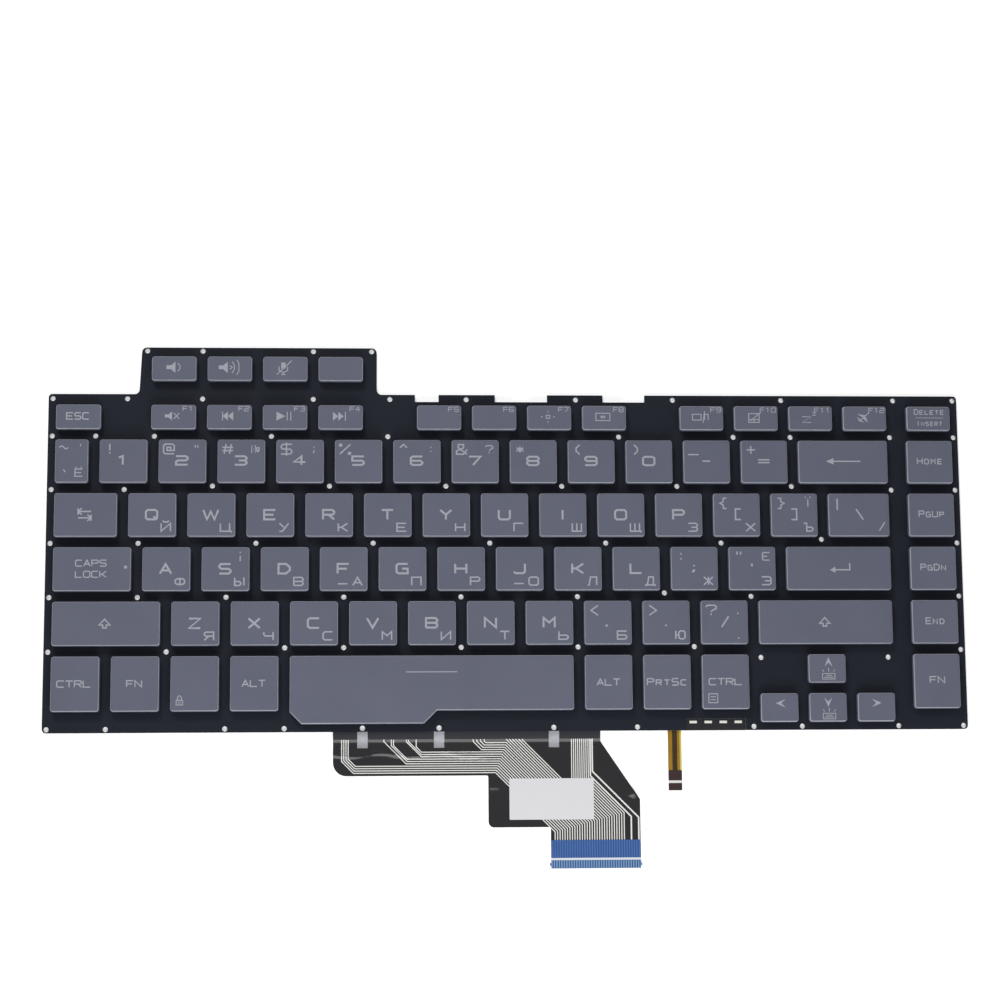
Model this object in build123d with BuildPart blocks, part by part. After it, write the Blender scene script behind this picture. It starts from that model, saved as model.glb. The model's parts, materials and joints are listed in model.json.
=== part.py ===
"""Laptop replacement keyboard: a riveted sandwich of films on a stamped plate, with scissor-hung key caps.

The frame is +X to the right, +Y away from the typist and +Z up, with the origin on the underside of the
sandwich, in the middle of its main rectangle. Lengths are millimetres.
"""

import os
from collections import namedtuple
from math import acos, atan2, cos, degrees, sin

from build123d import *

# Key grid
key_pitch = 19.05
row_pitch = 17.65
gap_x = 3.35
gap_y = 3.15
block_units = 14.5
bottom_depth = 17.9
tall_depth = 22.1
function_pitch = 18.1
function_depth = 8.35
escape_to_f1 = 16.0
media_gap = 7.75
arrow_units = 2.5
side_gap = 2.85
side_width = 15.45
space_step_x = 47.5
space_chamfer = 3.9

# Key caps and their travel
travel = 1.7
rim_clearance = 0.2
cap_height = 1.95
cap_roof = 0.75
cap_wall = 0.8
cap_corner_r = 1.0
cap_inner_r = 0.4
cap_edge_r = 0.3
skirt_taper = 8.0

# Sheets of the sandwich, from the underside up
underside_film_t = 0.15
guide_t = 0.35
plate_t = 0.5
membrane_t = 0.25
shield_t = 0.1

# Outline of the sandwich around the keys
side_margin = 2.8
back_margin = 4.0
front_margin = 2.35
plate_corner_r = 1.2
tab_back_margin = 3.5
tab_left_margin = 3.4
tab_right_margin = 4.45
tab_lean = 0.75
tab_corner_r = 1.6
notch_depth = 2.35
notches = [(-31.1, 7.8), (0.0, 17.3), (34.0, 13.9)]

# Holes for the rivets that hold the sandwich in a laptop's top case
rivet_d = 1.7
rivet_side_inset = 1.35
rivet_back_inset = 1.5
rivet_front_inset = 1.15
rivet_tab_inset = 1.1
rivet_tab_side_inset = 1.7
up_rivet_reach = 21.0
number_gap_units = [0.75, 1.75, 3.75, 5.75, 9.75, 11.75, 12.75, 14.5]
tab_gap_units = [1.25, 14.5]
caps_gap_units = [1.5, 3.5, 5.5, 7.5, 9.5, 11.5]
shift_gap_units = [1.5, 3, 5, 7, 9, 12]
bottom_gap_units = [2]
front_units = [1, 3, 4, 10, 12, 14.5]

# Rivet holes that sit higher, where the row behind leaves a gap between two caps
rivet_raise = 1.2
tab_raised_units = [2.75, 4.75, 6.75, 8.75, 10.75, 12.75]
caps_raised_units = [13.25]
shift_raised_units = [10.5]
bottom_raised_units = [4, 5, 7, 9, 11]

# Scissor links under the letter-sized caps, and the smaller ones under the narrow caps
link_t = 0.6
link_bar = 0.8
link_rest = 0.5
pivot_d = 0.3
pivot_clearance = 0.06
link_gap = 0.3
pair_edge = 8.4
Link = namedtuple("Link", "reach half_width arm clip_x")
letter_link = Link(4.8, 5.7, 1.0, 2.6)
narrow_link = Link(3.8, 3.0, 0.55, 1.5)

# Hooks that hold the link bars, stamped up from the plate and moulded under the caps
hook_w = 1.4
clip_w = 0.9
hook_t = 0.4
hook_lip = 0.2
hook_clearance = 0.2
slot_clearance = 0.15
window_margin = 0.6

# Rubber domes
Dome = namedtuple("Dome", "base_r waist_r top_r")
letter_dome = Dome(2.9, 2.4, 1.5)
narrow_dome = Dome(1.5, 1.35, 0.95)
dome_wall = 0.45
dome_flange = 0.25
dome_pad = 0.8
dome_stroke_room = 0.35

# Ribbon that the membrane sends out at the front
pad_places = [23.5, 48.2, 85.4]
pad_w = 3.35
pad_length = 5.2
pad_t = 0.1
tail_left_margin = 9.5
tail_right_margin = 15.05
tail_shelf = 14.15
tail_shelf_r = 4.3
tail_step = 30.8
tail_step_r = 1.8
tail_reach = 44.0
tail_shoulder = 3.25
tail_neck_top = 22.05
neck_shift = 12.7
neck_w = 29.0
step_w = 20.1
bend_r = 6.0
stiffener_length = 9.0
stiffener_t = 0.2
stiffener_ear = 0.4
stiffener_ear_length = 0.9
contact_length = 2.6
label_w = 27.3
label_h = 13.2
label_t = 0.08
label_x = 0.35
label_y = 21.8
label_r = 0.3

# Backlight flex with its light-emitting diodes, at the front edge
flex_from_right = 96.4
flex_w = 4.4
flex_t = 0.12
flex_reach = 19.3
flex_end_length = 6.5
flex_end_t = 0.1
flex_clearance = 0.2
lamp_window_gap = 1.5
lamp_window_w = 19.7
lamp_window_depth = 3.7
lamp_w = 2.4
lamp_depth = 0.8
lamp_t = 0.3
lamp_count = 4

# Places that follow from the sizes above
letter_depth = row_pitch - gap_y
plate_w = block_units * key_pitch + side_gap + side_width + 2 * side_margin
function_top = function_depth + gap_y
media_top = function_top + function_depth + media_gap
plate_back_v = function_top + back_margin
plate_front_v = 4 * row_pitch + tall_depth + front_margin
plate_depth = plate_back_v + plate_front_v
tab_rise = media_top + tab_back_margin - plate_back_v
plate_back = plate_depth / 2
plate_front = -plate_depth / 2
plate_right = plate_w / 2
block_x = -plate_w / 2 + side_margin
number_back = plate_back - plate_back_v
block_right = block_x + block_units * key_pitch - gap_x
side_x = block_x + block_units * key_pitch + side_gap

guide_z = underside_film_t
plate_z = guide_z + guide_t
membrane_z = plate_z + plate_t
shield_z = membrane_z + membrane_t
deck_z = shield_z + shield_t
cap_z = deck_z + rim_clearance + travel
roof = cap_height - cap_roof
roof_z = cap_z + roof
low_bar_z = deck_z + link_rest
high_bar_z = roof_z - link_rest
pivot_z = (low_bar_z + high_bar_z) / 2

# A key's centre, size and half-spacing of its link pairs; the narrow ones say which way their links run
Key = namedtuple("Key", "name x y width depth spread link along_x")


def key(name, left, back, width, depth):
    """A key from its left and back edges: wide keys ride on two link pairs, narrow ones on small links."""
    small = min(width, depth) - 2 * cap_wall < 2 * letter_link.half_width
    wide = width / 2 - pair_edge > letter_link.half_width + letter_dome.base_r
    return Key(
        name,
        left + width / 2,
        back - depth / 2,
        width,
        depth,
        width / 2 - pair_edge if wide else 0,
        narrow_link if small else letter_link,
        small and width > depth,
    )


def key_row(row, names):
    """Keys of one row from (name, units) pairs; rows count from the number row towards the typist."""
    keys = []
    at = 0
    depth = bottom_depth if row == 4 else letter_depth
    for name, units in names:
        left = block_x + at * key_pitch
        keys.append(key(name, left, number_back - row * row_pitch, units * key_pitch - gap_x, depth))
        at += units
    return keys


def singles(names):
    return [(name, 1) for name in names]


number_row = key_row(
    0,
    [("grave", 0.75)] + singles(list("1234567890") + ["minus", "equals"]) + [("backspace", 1.75)],
)
tab_row = key_row(
    1,
    [("tab", 1.25)] + singles(list("qwertyuiop") + ["left_bracket", "right_bracket"]) + [("backslash", 1.25)],
)
caps_row = key_row(
    2,
    [("caps_lock", 1.5)] + singles(list("asdfghjkl") + ["semicolon", "quote"]) + [("enter", 2)],
)
shift_row = key_row(
    3,
    [("left_shift", 2)] + singles(list("zxcvbnm") + ["comma", "period", "slash"]) + [("right_shift", 2.5)],
)
bottom_row = key_row(
    4,
    singles(["left_control", "left_function", "system", "left_alt"])
    + [("space", 5)]
    + singles(["right_alt", "print", "right_control"]),
)
space_key = bottom_row[4]
space_left = space_key.x - space_key.width / 2

function_w = function_pitch - gap_x
f1_left = block_x + function_w + escape_to_f1
f9_left = block_right - function_w - 3 * function_pitch
f5_left = (f1_left + f9_left) / 2
side_middle = side_x + side_width / 2
function_back = number_back + function_top
media_back = number_back + media_top
function_lefts = [left + i * function_pitch for left in (f1_left, f5_left, f9_left) for i in range(4)]
function_row = [key(f"f{i + 1}", left, function_back, function_w, function_depth)
                for i, left in enumerate(function_lefts)]
function_row.append(key("escape", block_x, function_back, function_w, function_depth))
function_row.append(key("delete", side_middle - function_w / 2, function_back, function_w, function_depth))
media_row = [key(f"media_{i + 1}", left, media_back, function_w, function_depth)
             for i, left in enumerate(function_lefts[:4])]

side_names = ["home", "page_up", "page_down", "end"]
side_column = [key(name, side_x, number_back - i * row_pitch, side_width, letter_depth)
               for i, name in enumerate(side_names)]
bottom_back = number_back - 4 * row_pitch
side_column.append(key("right_function", side_x, bottom_back, side_width, bottom_depth))

arrow_pitch = arrow_units * key_pitch / 3
arrow_w = arrow_pitch - gap_x
arrow_depth = (tall_depth - gap_y) / 2
arrow_left = block_x + (block_units - arrow_units) * key_pitch
arrow_front = bottom_back - arrow_depth - gap_y
arrows = [key(name, arrow_left + i * arrow_pitch, arrow_front, arrow_w, arrow_depth)
          for i, name in enumerate(["left", "down", "right"])]
arrows.append(key("up", arrow_left + arrow_pitch, bottom_back, arrow_w, arrow_depth))

moving_keys = tab_row + caps_row + shift_row + bottom_row
function_keys = media_row + function_row
outer_keys = number_row + side_column + arrows
all_keys = moving_keys + function_keys + outer_keys


def pair_places(one_key):
    """The place and turn of each link pair under a key."""
    turn = 90 if one_key.along_x else 0
    offsets = [-one_key.spread, one_key.spread] if one_key.spread else [0]
    return [Location((one_key.x + dx, one_key.y), (0, 0, turn)) for dx in offsets]


def places_of(link):
    """The place and turn of every link pair of one size, all over the keyboard."""
    return [place for one_key in all_keys if one_key.link is link for place in pair_places(one_key)]


def dome_places(link):
    return [Location((one_key.x, one_key.y)) for one_key in all_keys if one_key.link is link]


# Rivet holes, row by row from the back
pad_xs = [space_left + place for place in pad_places]
edge_xs = [-plate_right + rivet_side_inset, plate_right - rivet_side_inset]
tab_left = f1_left - tab_left_margin
tab_right = function_lefts[3] + function_w + tab_right_margin
tab_back = plate_back + tab_rise


def between(left):
    """The middle of the gap to the left of a key edge."""
    return left - gap_x / 2


def gap_row(row, units, raised_units=()):
    """Holes in the gap behind a row: one at each edge of the plate and one at each unit place."""
    y = number_back - row * row_pitch + gap_y / 2
    level = [between(block_x + unit * key_pitch) for unit in units]
    raised = [between(block_x + unit * key_pitch) for unit in raised_units]
    return [(x, y) for x in edge_xs + level] + [(x, y + rivet_raise) for x in raised]


tab_hole_xs = [
    tab_left + rivet_tab_side_inset,
    between(function_lefts[1]),
    between(function_lefts[3]),
    tab_right - rivet_tab_side_inset,
]
back_hole_xs = edge_xs + [
    (block_x + function_w + f1_left) / 2,
    between(function_lefts[1]),
    between(function_lefts[3]),
    (function_lefts[3] + function_w + f5_left) / 2,
    between(function_lefts[5]),
    between(function_lefts[7]),
    between(f9_left),
    between(function_lefts[10]),
    (block_right + side_x) / 2,
]
front_hole_xs = edge_xs + [between(block_x + unit * key_pitch) for unit in front_units]
front_hole_xs += pad_xs + [between(arrow_left + arrow_pitch)]
front_hole_y = plate_front + rivet_front_inset
back_hole_y = plate_back - rivet_back_inset
up_key = arrows[-1]
rivet_places = [(x, tab_back - rivet_tab_inset) for x in tab_hole_xs]
rivet_places += [(x, back_hole_y) for x in back_hole_xs]
rivet_places += [(x, front_hole_y) for x in front_hole_xs]
rivet_places += gap_row(0, number_gap_units)
rivet_places += gap_row(1, tab_gap_units, tab_raised_units)
rivet_places += gap_row(2, caps_gap_units, caps_raised_units)
rivet_places += gap_row(3, shift_gap_units, shift_raised_units)
rivet_places += gap_row(4, bottom_gap_units, bottom_raised_units)
rivet_places += [(up_key.x + side * up_rivet_reach, bottom_back - rivet_d / 2) for side in (-1, 1)]

# Backlight flex and the window that its lamps stand in
flex_x = plate_right - flex_from_right
lamp_left = flex_x + flex_w / 2 + lamp_window_gap
lamp_right = lamp_left + lamp_window_w


def sheet_outline():
    """Draws the sandwich's outline: the main rectangle, the media-key tab and the notches at the back."""
    with BuildSketch(mode=Mode.PRIVATE) as outline:
        Rectangle(plate_w, plate_depth)
        tab = [
            (tab_left, tab_back),
            (tab_right, tab_back),
            (tab_right, plate_back),
            (tab_left - tab_lean, plate_back),
        ]
        Polygon(*tab, align=None)
        corners = outline.vertices()
        tab_corners = corners.filter_by_position(Axis.X, tab_left - 2 * tab_lean, tab_right + tab_lean)
        plate_corners = [corner for corner in corners if corner not in tab_corners]
        fillet(tab_corners, tab_corner_r)
        fillet(plate_corners, plate_corner_r)
        for x, width in notches:
            with Locations((f5_left + 2 * function_pitch - gap_x / 2 + x, plate_back)):
                Rectangle(width, 2 * notch_depth, mode=Mode.SUBTRACT)
    add(outline.sketch)


def rivet_holes():
    """Cuts the rivet holes out of the sketch being drawn."""
    with Locations(*rivet_places):
        Circle(rivet_d / 2, mode=Mode.SUBTRACT)


def lamp_window(depth):
    """Cuts the lamp window out of the front edge of the sketch being drawn."""
    with Locations(((lamp_left + lamp_right) / 2, plate_front)):
        Rectangle(lamp_window_w, 2 * depth, mode=Mode.SUBTRACT)


def hook_slots():
    """Cuts a slot at each plate hook out of the sketch being drawn, wide enough to slip over the hook."""
    near = -slot_clearance
    far = hook_outside + slot_clearance
    for link in (letter_link, narrow_link):
        middle = link.reach + (near + far) / 2
        with Locations(*places_of(link)):
            with Locations((0, -middle), (0, middle)):
                Rectangle(hook_w + 2 * slot_clearance, far - near, mode=Mode.SUBTRACT)


def key_windows():
    """Cuts a window under each cap out of the sketch being drawn, where the backlight comes up."""
    for group in same_size(all_keys):
        width = group[0].width - 2 * (cap_wall + window_margin)
        depth = group[0].depth - 2 * (cap_wall + window_margin)
        with Locations(*[(one_key.x, one_key.y) for one_key in group]):
            Rectangle(width, depth, mode=Mode.SUBTRACT)


hook_inside = link_bar / 2 + hook_clearance
hook_outside = hook_inside + hook_t


def hook(x, width, side, bar, root, bar_z):
    """Adds one hook: a post beside a link bar and a lip that reaches to the bar's middle.

    The post starts at height root and runs past the bar at bar_z; side says which side of the bar it is on.
    """
    way = 1 if bar_z > root else -1
    lip_near = bar_z + way * (link_t / 2 + hook_clearance)
    lip_far = lip_near + way * hook_lip
    outside = bar + side * hook_outside
    inside = bar + side * hook_inside
    with BuildSketch(Plane.YZ.offset(x - width / 2)) as profile:
        Polygon(
            (inside, root),
            (outside, root),
            (outside, lip_far),
            (bar, lip_far),
            (bar, lip_near),
            (inside, lip_near),
            align=None,
        )
    extrude(profile.sketch, amount=width)


def plate_hooks(link):
    """The two hooks that hold one link pair's low bars on the plate, around the pair's middle."""
    with BuildPart() as hooks:
        for side in (-1, 1):
            hook(0, hook_w, side, side * link.reach, plate_z + plate_t, low_bar_z)
    return hooks.part


def link_plane(link, way):
    """The tilted plane of a link through its pivot: way 1 rises to the back, way -1 to the front."""
    tilt = atan2((high_bar_z - low_bar_z) / 2, link.reach)
    normal = (0, -way * sin(tilt), cos(tilt))
    return Plane(origin=(0, 0, pivot_z), x_dir=(1, 0, 0), z_dir=normal), 2 * link.reach / cos(tilt)


def link_frame(link, half_width, way):
    """Adds one link: a flat frame of two arms and two bars, with two feet under the low bar."""
    plane, length = link_plane(link, way)
    with BuildSketch(plane) as frame:
        Rectangle(2 * half_width, length + link_bar)
        Rectangle(2 * (half_width - link.arm), length - link_bar, mode=Mode.SUBTRACT)
    extrude(frame.sketch, amount=link_t / 2, both=True)
    with Locations(*[(side * link.clip_x, -way * link.reach, shield_z) for side in (-1, 1)]):
        Box(clip_w, link_bar, low_bar_z - shield_z, align=(Align.CENTER, Align.CENTER, Align.MIN))


def link_pair(link):
    """The outer and the inner link of one pair, around the pair's middle, crossed at their pivots."""
    inner_half = link.half_width - link.arm - link_gap
    pin_length = link_gap - pivot_clearance
    with BuildPart() as outer:
        link_frame(link, link.half_width, 1)
    with BuildPart() as inner:
        link_frame(link, inner_half, -1)
        for side in (-1, 1):
            with Locations(Location((side * (inner_half + pin_length / 2), 0, pivot_z), (0, 90, 0))):
                Cylinder(pivot_d / 2, pin_length)
    return outer.part, inner.part


def cap_outline(one_key, inset, radius):
    """A cap's rounded outline around the key's middle, inset from its skirt's rim."""
    half_w = one_key.width / 2
    half_d = one_key.depth / 2
    corners = [(-half_w, -half_d), (half_w, -half_d), (half_w, half_d), (-half_w, half_d)]
    if one_key is space_key:
        front = half_d - tall_depth
        step = space_step_x - half_w
        corners = [
            (-half_w + space_chamfer, front),
            (step - (tall_depth - bottom_depth), front),
            (step, -half_d),
            (half_w, -half_d),
            (half_w, half_d),
            (-half_w, half_d),
            (-half_w, front + space_chamfer),
        ]
    with BuildSketch() as outline:
        Polygon(*corners, align=None)
        if inset:
            offset(amount=-inset, kind=Kind.INTERSECTION)
        fillet(outline.vertices(), radius)
    return outline.sketch


def cap_shell(one_key):
    """Adds a hollow cap around the key's middle, its rim at height 0: a tapered skirt and a flat roof."""
    extrude(cap_outline(one_key, 0, cap_corner_r), amount=cap_height, taper=skirt_taper)
    top = faces().sort_by(Axis.Z)[-1]
    fillet(top.edges(), cap_edge_r)
    extrude(cap_outline(one_key, cap_wall, cap_inner_r), amount=roof, mode=Mode.SUBTRACT)


def cap_clips(link):
    """The four clips under a cap's roof that hold one link pair's high bars, around the pair's middle."""
    bar_z = roof - link_rest
    with BuildPart() as clips:
        for x in (-link.clip_x, link.clip_x):
            for side in (-1, 1):
                hook(x, clip_w, side, side * link.reach, roof, bar_z)
    return clips.part


def local_places(one_key):
    """The link pairs' places as seen from the key's own middle."""
    back = Location((-one_key.x, -one_key.y))
    return [back * place for place in pair_places(one_key)]


clips_of = {link: cap_clips(link) for link in (letter_link, narrow_link)}
pair_of = {link: link_pair(link) for link in (letter_link, narrow_link)}


def moving_cap(one_key):
    """A cap with its clips, which lets the links turn."""
    with BuildPart() as cap:
        cap_shell(one_key)
        with Locations(*local_places(one_key)):
            add(clips_of[one_key.link])
    return cap.part


def standing_key(one_key):
    """A cap made in one with the link pair that carries it, for the keys that have no joint."""
    link = one_key.link
    with BuildPart() as carrier:
        with Locations((0, 0, -cap_z)):
            add(pair_of[link])
        with Locations((0, -link.reach, roof), (0, link.reach, roof)):
            Box(2 * link.clip_x, link_bar, link_rest, align=(Align.CENTER, Align.CENTER, Align.MAX))
    with BuildPart() as whole:
        cap_shell(one_key)
        with Locations(*local_places(one_key)):
            add(carrier.part)
    return whole.part


def same_size(keys):
    """Groups keys that share one shape, as lists of keys."""
    groups = {}
    for one_key in keys:
        groups.setdefault((one_key.width, one_key.depth), []).append(one_key)
    return groups.values()


def finish(part, name):
    """Labels a finished piece and writes it to its own file."""
    part.label = name
    export_step(part, f"parts/{name}.step")


os.makedirs("parts", exist_ok=True)

# Moving keys: the four typing rows, each cap a piece of its own
for group in same_size(key_ for key_ in moving_keys if key_ is not space_key):
    shape = moving_cap(group[0])
    for one_key in group:
        with BuildPart() as cap:
            with Locations((one_key.x, one_key.y, cap_z)):
                add(shape)
        finish(cap.part, f"key_{one_key.name}")

with BuildPart() as space_cap:
    with Locations((space_key.x, space_key.y, cap_z)):
        add(moving_cap(space_key))
finish(space_cap.part, "key_space")

# Standing keys: the media and function keys, and the keys around the typing rows
for name, keys in (("function_keys", function_keys), ("outer_keys", outer_keys)):
    standing = []
    for group in same_size(keys):
        shape = standing_key(group[0])
        standing += [Location((one_key.x, one_key.y, cap_z)) * shape for one_key in group]
    finish(Compound([solid for one in standing for solid in one.solids()]), name)

# Scissor links of the moving keys, an outer and an inner one in each pair
moving_places = [place for one_key in moving_keys for place in pair_places(one_key)]
links = [place * link for place in moving_places for link in pair_of[letter_link]]
finish(Compound([link.solid() for link in links]), "scissor_links")


def dome(shape):
    """A rubber dome on the membrane: a flange, a hollow cone, a pad at the roof and a plunger inside."""
    height = roof_z - membrane_z - membrane_t
    shoulder = height - dome_pad
    ceiling = height - dome_pad - dome_wall
    plunger = ceiling - (height - travel - dome_stroke_room - dome_wall)
    with BuildPart() as rubber:
        with BuildSketch(Plane.XZ):
            Polygon(
                (0, height),
                (shape.top_r, height),
                (shape.top_r, shoulder),
                (shape.waist_r, dome_flange),
                (shape.base_r, dome_flange),
                (shape.base_r, 0),
                (shape.waist_r - dome_wall, 0),
                (shape.top_r - dome_wall / 2, ceiling),
                (shape.top_r - dome_wall, ceiling),
                (shape.top_r - dome_wall, plunger),
                (0, plunger),
                align=None,
            )
        revolve(axis=Axis.Z)
    return rubber.part


domes = []
for link, shape in ((letter_link, letter_dome), (narrow_link, narrow_dome)):
    rubber_dome = dome(shape)
    domes += [Location((0, 0, shield_z)) * place * rubber_dome for place in dome_places(link)]
finish(Compound([one.solid() for one in domes]), "rubber_domes")

# Base plate with its stamped hooks
with BuildPart() as base_plate:
    with BuildSketch(Plane.XY.offset(plate_z)):
        sheet_outline()
        rivet_holes()
        lamp_window(lamp_window_depth)
    extrude(amount=plate_t)
    for link in (letter_link, narrow_link):
        with Locations(*places_of(link)):
            add(plate_hooks(link))
finish(base_plate.part, "base_plate")

# Light guide and underside film below the plate
with BuildPart() as light_guide:
    with BuildSketch(Plane.XY.offset(guide_z)):
        sheet_outline()
        rivet_holes()
        lamp_window(lamp_window_depth)
        with Locations((flex_x, plate_front)):
            Rectangle(flex_w + 2 * flex_clearance, 2 * lamp_window_depth, mode=Mode.SUBTRACT)
        with Locations(((flex_x + lamp_left) / 2, plate_front)):
            Rectangle(lamp_left - flex_x, 2 * lamp_window_depth, mode=Mode.SUBTRACT)
    extrude(amount=guide_t)
finish(light_guide.part, "light_guide")

with BuildPart() as underside_film:
    with BuildSketch():
        sheet_outline()
        rivet_holes()
    extrude(amount=underside_film_t)
finish(underside_film.part, "underside_film")

# Ribbon: drapes from the membrane down to the table
bend_angle = acos(1 - membrane_z / (2 * bend_r))
bend_run = 2 * bend_r * sin(bend_angle)
tail_left = pad_xs[0] - tail_left_margin
tail_right = pad_xs[-1] + tail_right_margin
neck_right = tail_right + neck_shift
neck_left = neck_right - neck_w
step_x = neck_left - step_w


def drape_edge(above):
    """Draws the side line of a film that lies at a height above the ribbon's underside.

    It leaves the plate level, bends down over bend_r, bends back and then lies flat on the table.
    """
    turn = degrees(bend_angle)
    first = (plate_front, membrane_z - bend_r)
    second = (plate_front - bend_run, bend_r)
    CenterArc(first, bend_r + above, 90, turn)
    CenterArc(second, bend_r - above, 270 + turn, -turn)
    Line((plate_front - bend_run, above), (plate_front - tail_reach, above))


def draped_film(below, above):
    """Adds a draped strip as wide as the sandwich, between two heights above the ribbon's underside."""
    with BuildSketch(Plane.YZ) as side_view:
        with BuildLine():
            drape_edge(below)
            drape_edge(above)
            for y, lift in ((plate_front, membrane_z), (plate_front - tail_reach, 0)):
                Line((y, lift + below), (y, lift + above))
        make_face()
    extrude(side_view.sketch, amount=plate_w / 2, both=True)


with BuildPart() as ribbon:
    draped_film(0, membrane_t)
    with BuildSketch():
        with BuildLine():
            FilletPolyline(
                (tail_left, plate_front),
                (tail_left, plate_front - tail_shelf),
                (step_x, plate_front - tail_shelf),
                radius=tail_shelf_r,
            )
            FilletPolyline(
                (step_x, plate_front - tail_shelf),
                (step_x, plate_front - tail_step),
                (neck_left, plate_front - tail_step),
                radius=tail_step_r,
            )
            Polyline(
                (neck_left, plate_front - tail_step),
                (neck_left, plate_front - tail_reach),
                (neck_right, plate_front - tail_reach),
                (neck_right, plate_front - tail_neck_top),
                (tail_right, plate_front - tail_shoulder),
                (tail_right, plate_front),
                (tail_left, plate_front),
            )
        make_face()
    extrude(amount=deck_z, mode=Mode.INTERSECT)

with BuildPart() as switch_membrane:
    with BuildSketch(Plane.XY.offset(membrane_z)):
        sheet_outline()
        rivet_holes()
        hook_slots()
        lamp_window(lamp_window_depth)
    extrude(amount=membrane_t)
    add(ribbon.part)
finish(switch_membrane.part, "switch_membrane")

# Light shield: the black top film, open under each cap
with BuildPart() as light_shield:
    with BuildSketch(Plane.XY.offset(shield_z)):
        sheet_outline()
        rivet_holes()
        key_windows()
        lamp_window(lamp_window_depth)
    extrude(amount=shield_t)
finish(light_shield.part, "light_shield")

# Grounding pads that lie on the ribbon where it leaves the plate
with BuildPart() as ground_pads:
    draped_film(membrane_t, membrane_t + pad_t)
    with BuildSketch():
        with Locations(*[(x, plate_front - pad_length / 2) for x in pad_xs]):
            Rectangle(pad_w, pad_length)
    extrude(amount=deck_z + pad_t, mode=Mode.INTERSECT)
finish(ground_pads.part, "ground_pads")

# Stiffener on the ribbon's plug end, and the label
neck_middle = (neck_left + neck_right) / 2
with BuildPart() as ribbon_stiffener:
    with BuildSketch(Plane.XY.offset(membrane_t)):
        with Locations((neck_middle, plate_front - tail_reach)):
            Rectangle(neck_w, stiffener_length, align=(Align.CENTER, Align.MIN))
        with Locations((neck_middle, plate_front - tail_reach + contact_length / 2)):
            Rectangle(neck_w + 2 * stiffener_ear, stiffener_ear_length)
    extrude(amount=stiffener_t)
finish(ribbon_stiffener.part, "ribbon_stiffener")

with BuildPart() as ribbon_label:
    with BuildSketch(Plane.XY.offset(membrane_t)):
        with Locations((neck_left + label_x, plate_front - label_y)):
            RectangleRounded(label_w, label_h, label_r)
    extrude(amount=label_t)
finish(ribbon_label.part, "ribbon_label")

# Backlight flex: a strip out to its plug end, and a head with the lamps beside the light guide
with BuildPart() as backlight_flex:
    head_depth = lamp_window_depth - flex_clearance
    with BuildSketch(Plane.XY.offset(guide_z)):
        with Locations((flex_x, plate_front)):
            Rectangle(flex_w, flex_reach, align=(Align.CENTER, Align.MAX))
        with Locations((flex_x - flex_w / 2, plate_front)):
            head_w = lamp_right - flex_clearance - flex_x + flex_w / 2
            Rectangle(head_w, head_depth, align=(Align.MIN, Align.MIN))
    extrude(amount=flex_t)
    with BuildSketch(Plane.XY.offset(guide_z + flex_t)):
        with Locations((flex_x, plate_front - flex_reach)):
            Rectangle(flex_w, flex_end_length, align=(Align.CENTER, Align.MIN))
    extrude(amount=flex_end_t)
    with BuildSketch(Plane.XY.offset(guide_z + flex_t)):
        lamp_spacing = lamp_window_w / lamp_count
        with Locations(((lamp_left + lamp_right) / 2, plate_front + head_depth - lamp_depth)):
            with GridLocations(lamp_spacing, 0, lamp_count, 1):
                Rectangle(lamp_w, lamp_depth)
    extrude(amount=lamp_t)
finish(backlight_flex.part, "backlight_flex")
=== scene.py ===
# %% [markdown]
# # A laptop's replacement keyboard
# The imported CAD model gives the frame: every piece below is made at the place and size that the CAD nodes
# have. Lengths in the helpers are millimetres, because a keyboard is drawn in them, and become metres when
# a mesh is made.

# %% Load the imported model
import json
from math import pi, radians

import bmesh
import bpy
import numpy as np
from mathutils import Matrix, Vector

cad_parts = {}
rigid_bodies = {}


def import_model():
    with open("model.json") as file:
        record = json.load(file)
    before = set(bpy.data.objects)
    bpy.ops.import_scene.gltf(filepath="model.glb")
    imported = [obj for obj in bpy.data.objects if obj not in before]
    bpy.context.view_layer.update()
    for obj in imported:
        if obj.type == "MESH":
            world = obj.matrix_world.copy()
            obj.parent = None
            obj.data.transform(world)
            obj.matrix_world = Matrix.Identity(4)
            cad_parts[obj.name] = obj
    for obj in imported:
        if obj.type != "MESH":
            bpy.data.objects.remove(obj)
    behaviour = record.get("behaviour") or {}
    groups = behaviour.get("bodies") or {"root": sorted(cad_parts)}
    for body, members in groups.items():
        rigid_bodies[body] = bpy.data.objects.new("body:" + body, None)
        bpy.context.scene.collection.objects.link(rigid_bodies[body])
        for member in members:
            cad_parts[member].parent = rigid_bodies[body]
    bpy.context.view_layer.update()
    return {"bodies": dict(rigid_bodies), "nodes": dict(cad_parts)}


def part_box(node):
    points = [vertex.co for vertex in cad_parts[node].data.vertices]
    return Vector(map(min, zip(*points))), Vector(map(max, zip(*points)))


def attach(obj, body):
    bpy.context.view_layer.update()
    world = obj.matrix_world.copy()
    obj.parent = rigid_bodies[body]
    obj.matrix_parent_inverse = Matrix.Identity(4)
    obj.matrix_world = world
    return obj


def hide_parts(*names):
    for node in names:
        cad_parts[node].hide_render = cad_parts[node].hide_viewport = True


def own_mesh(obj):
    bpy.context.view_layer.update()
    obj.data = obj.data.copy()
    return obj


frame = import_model()
scene = bpy.context.scene
scene.view_settings.view_transform = "Standard"

# %% [markdown]
# ## Camera
# The photograph looks almost straight down, from a little in front and with a longish lens. The place and the
# axes come from fitting a camera to the regular grid of the keys, which is surer than judging them by eye.

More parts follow.
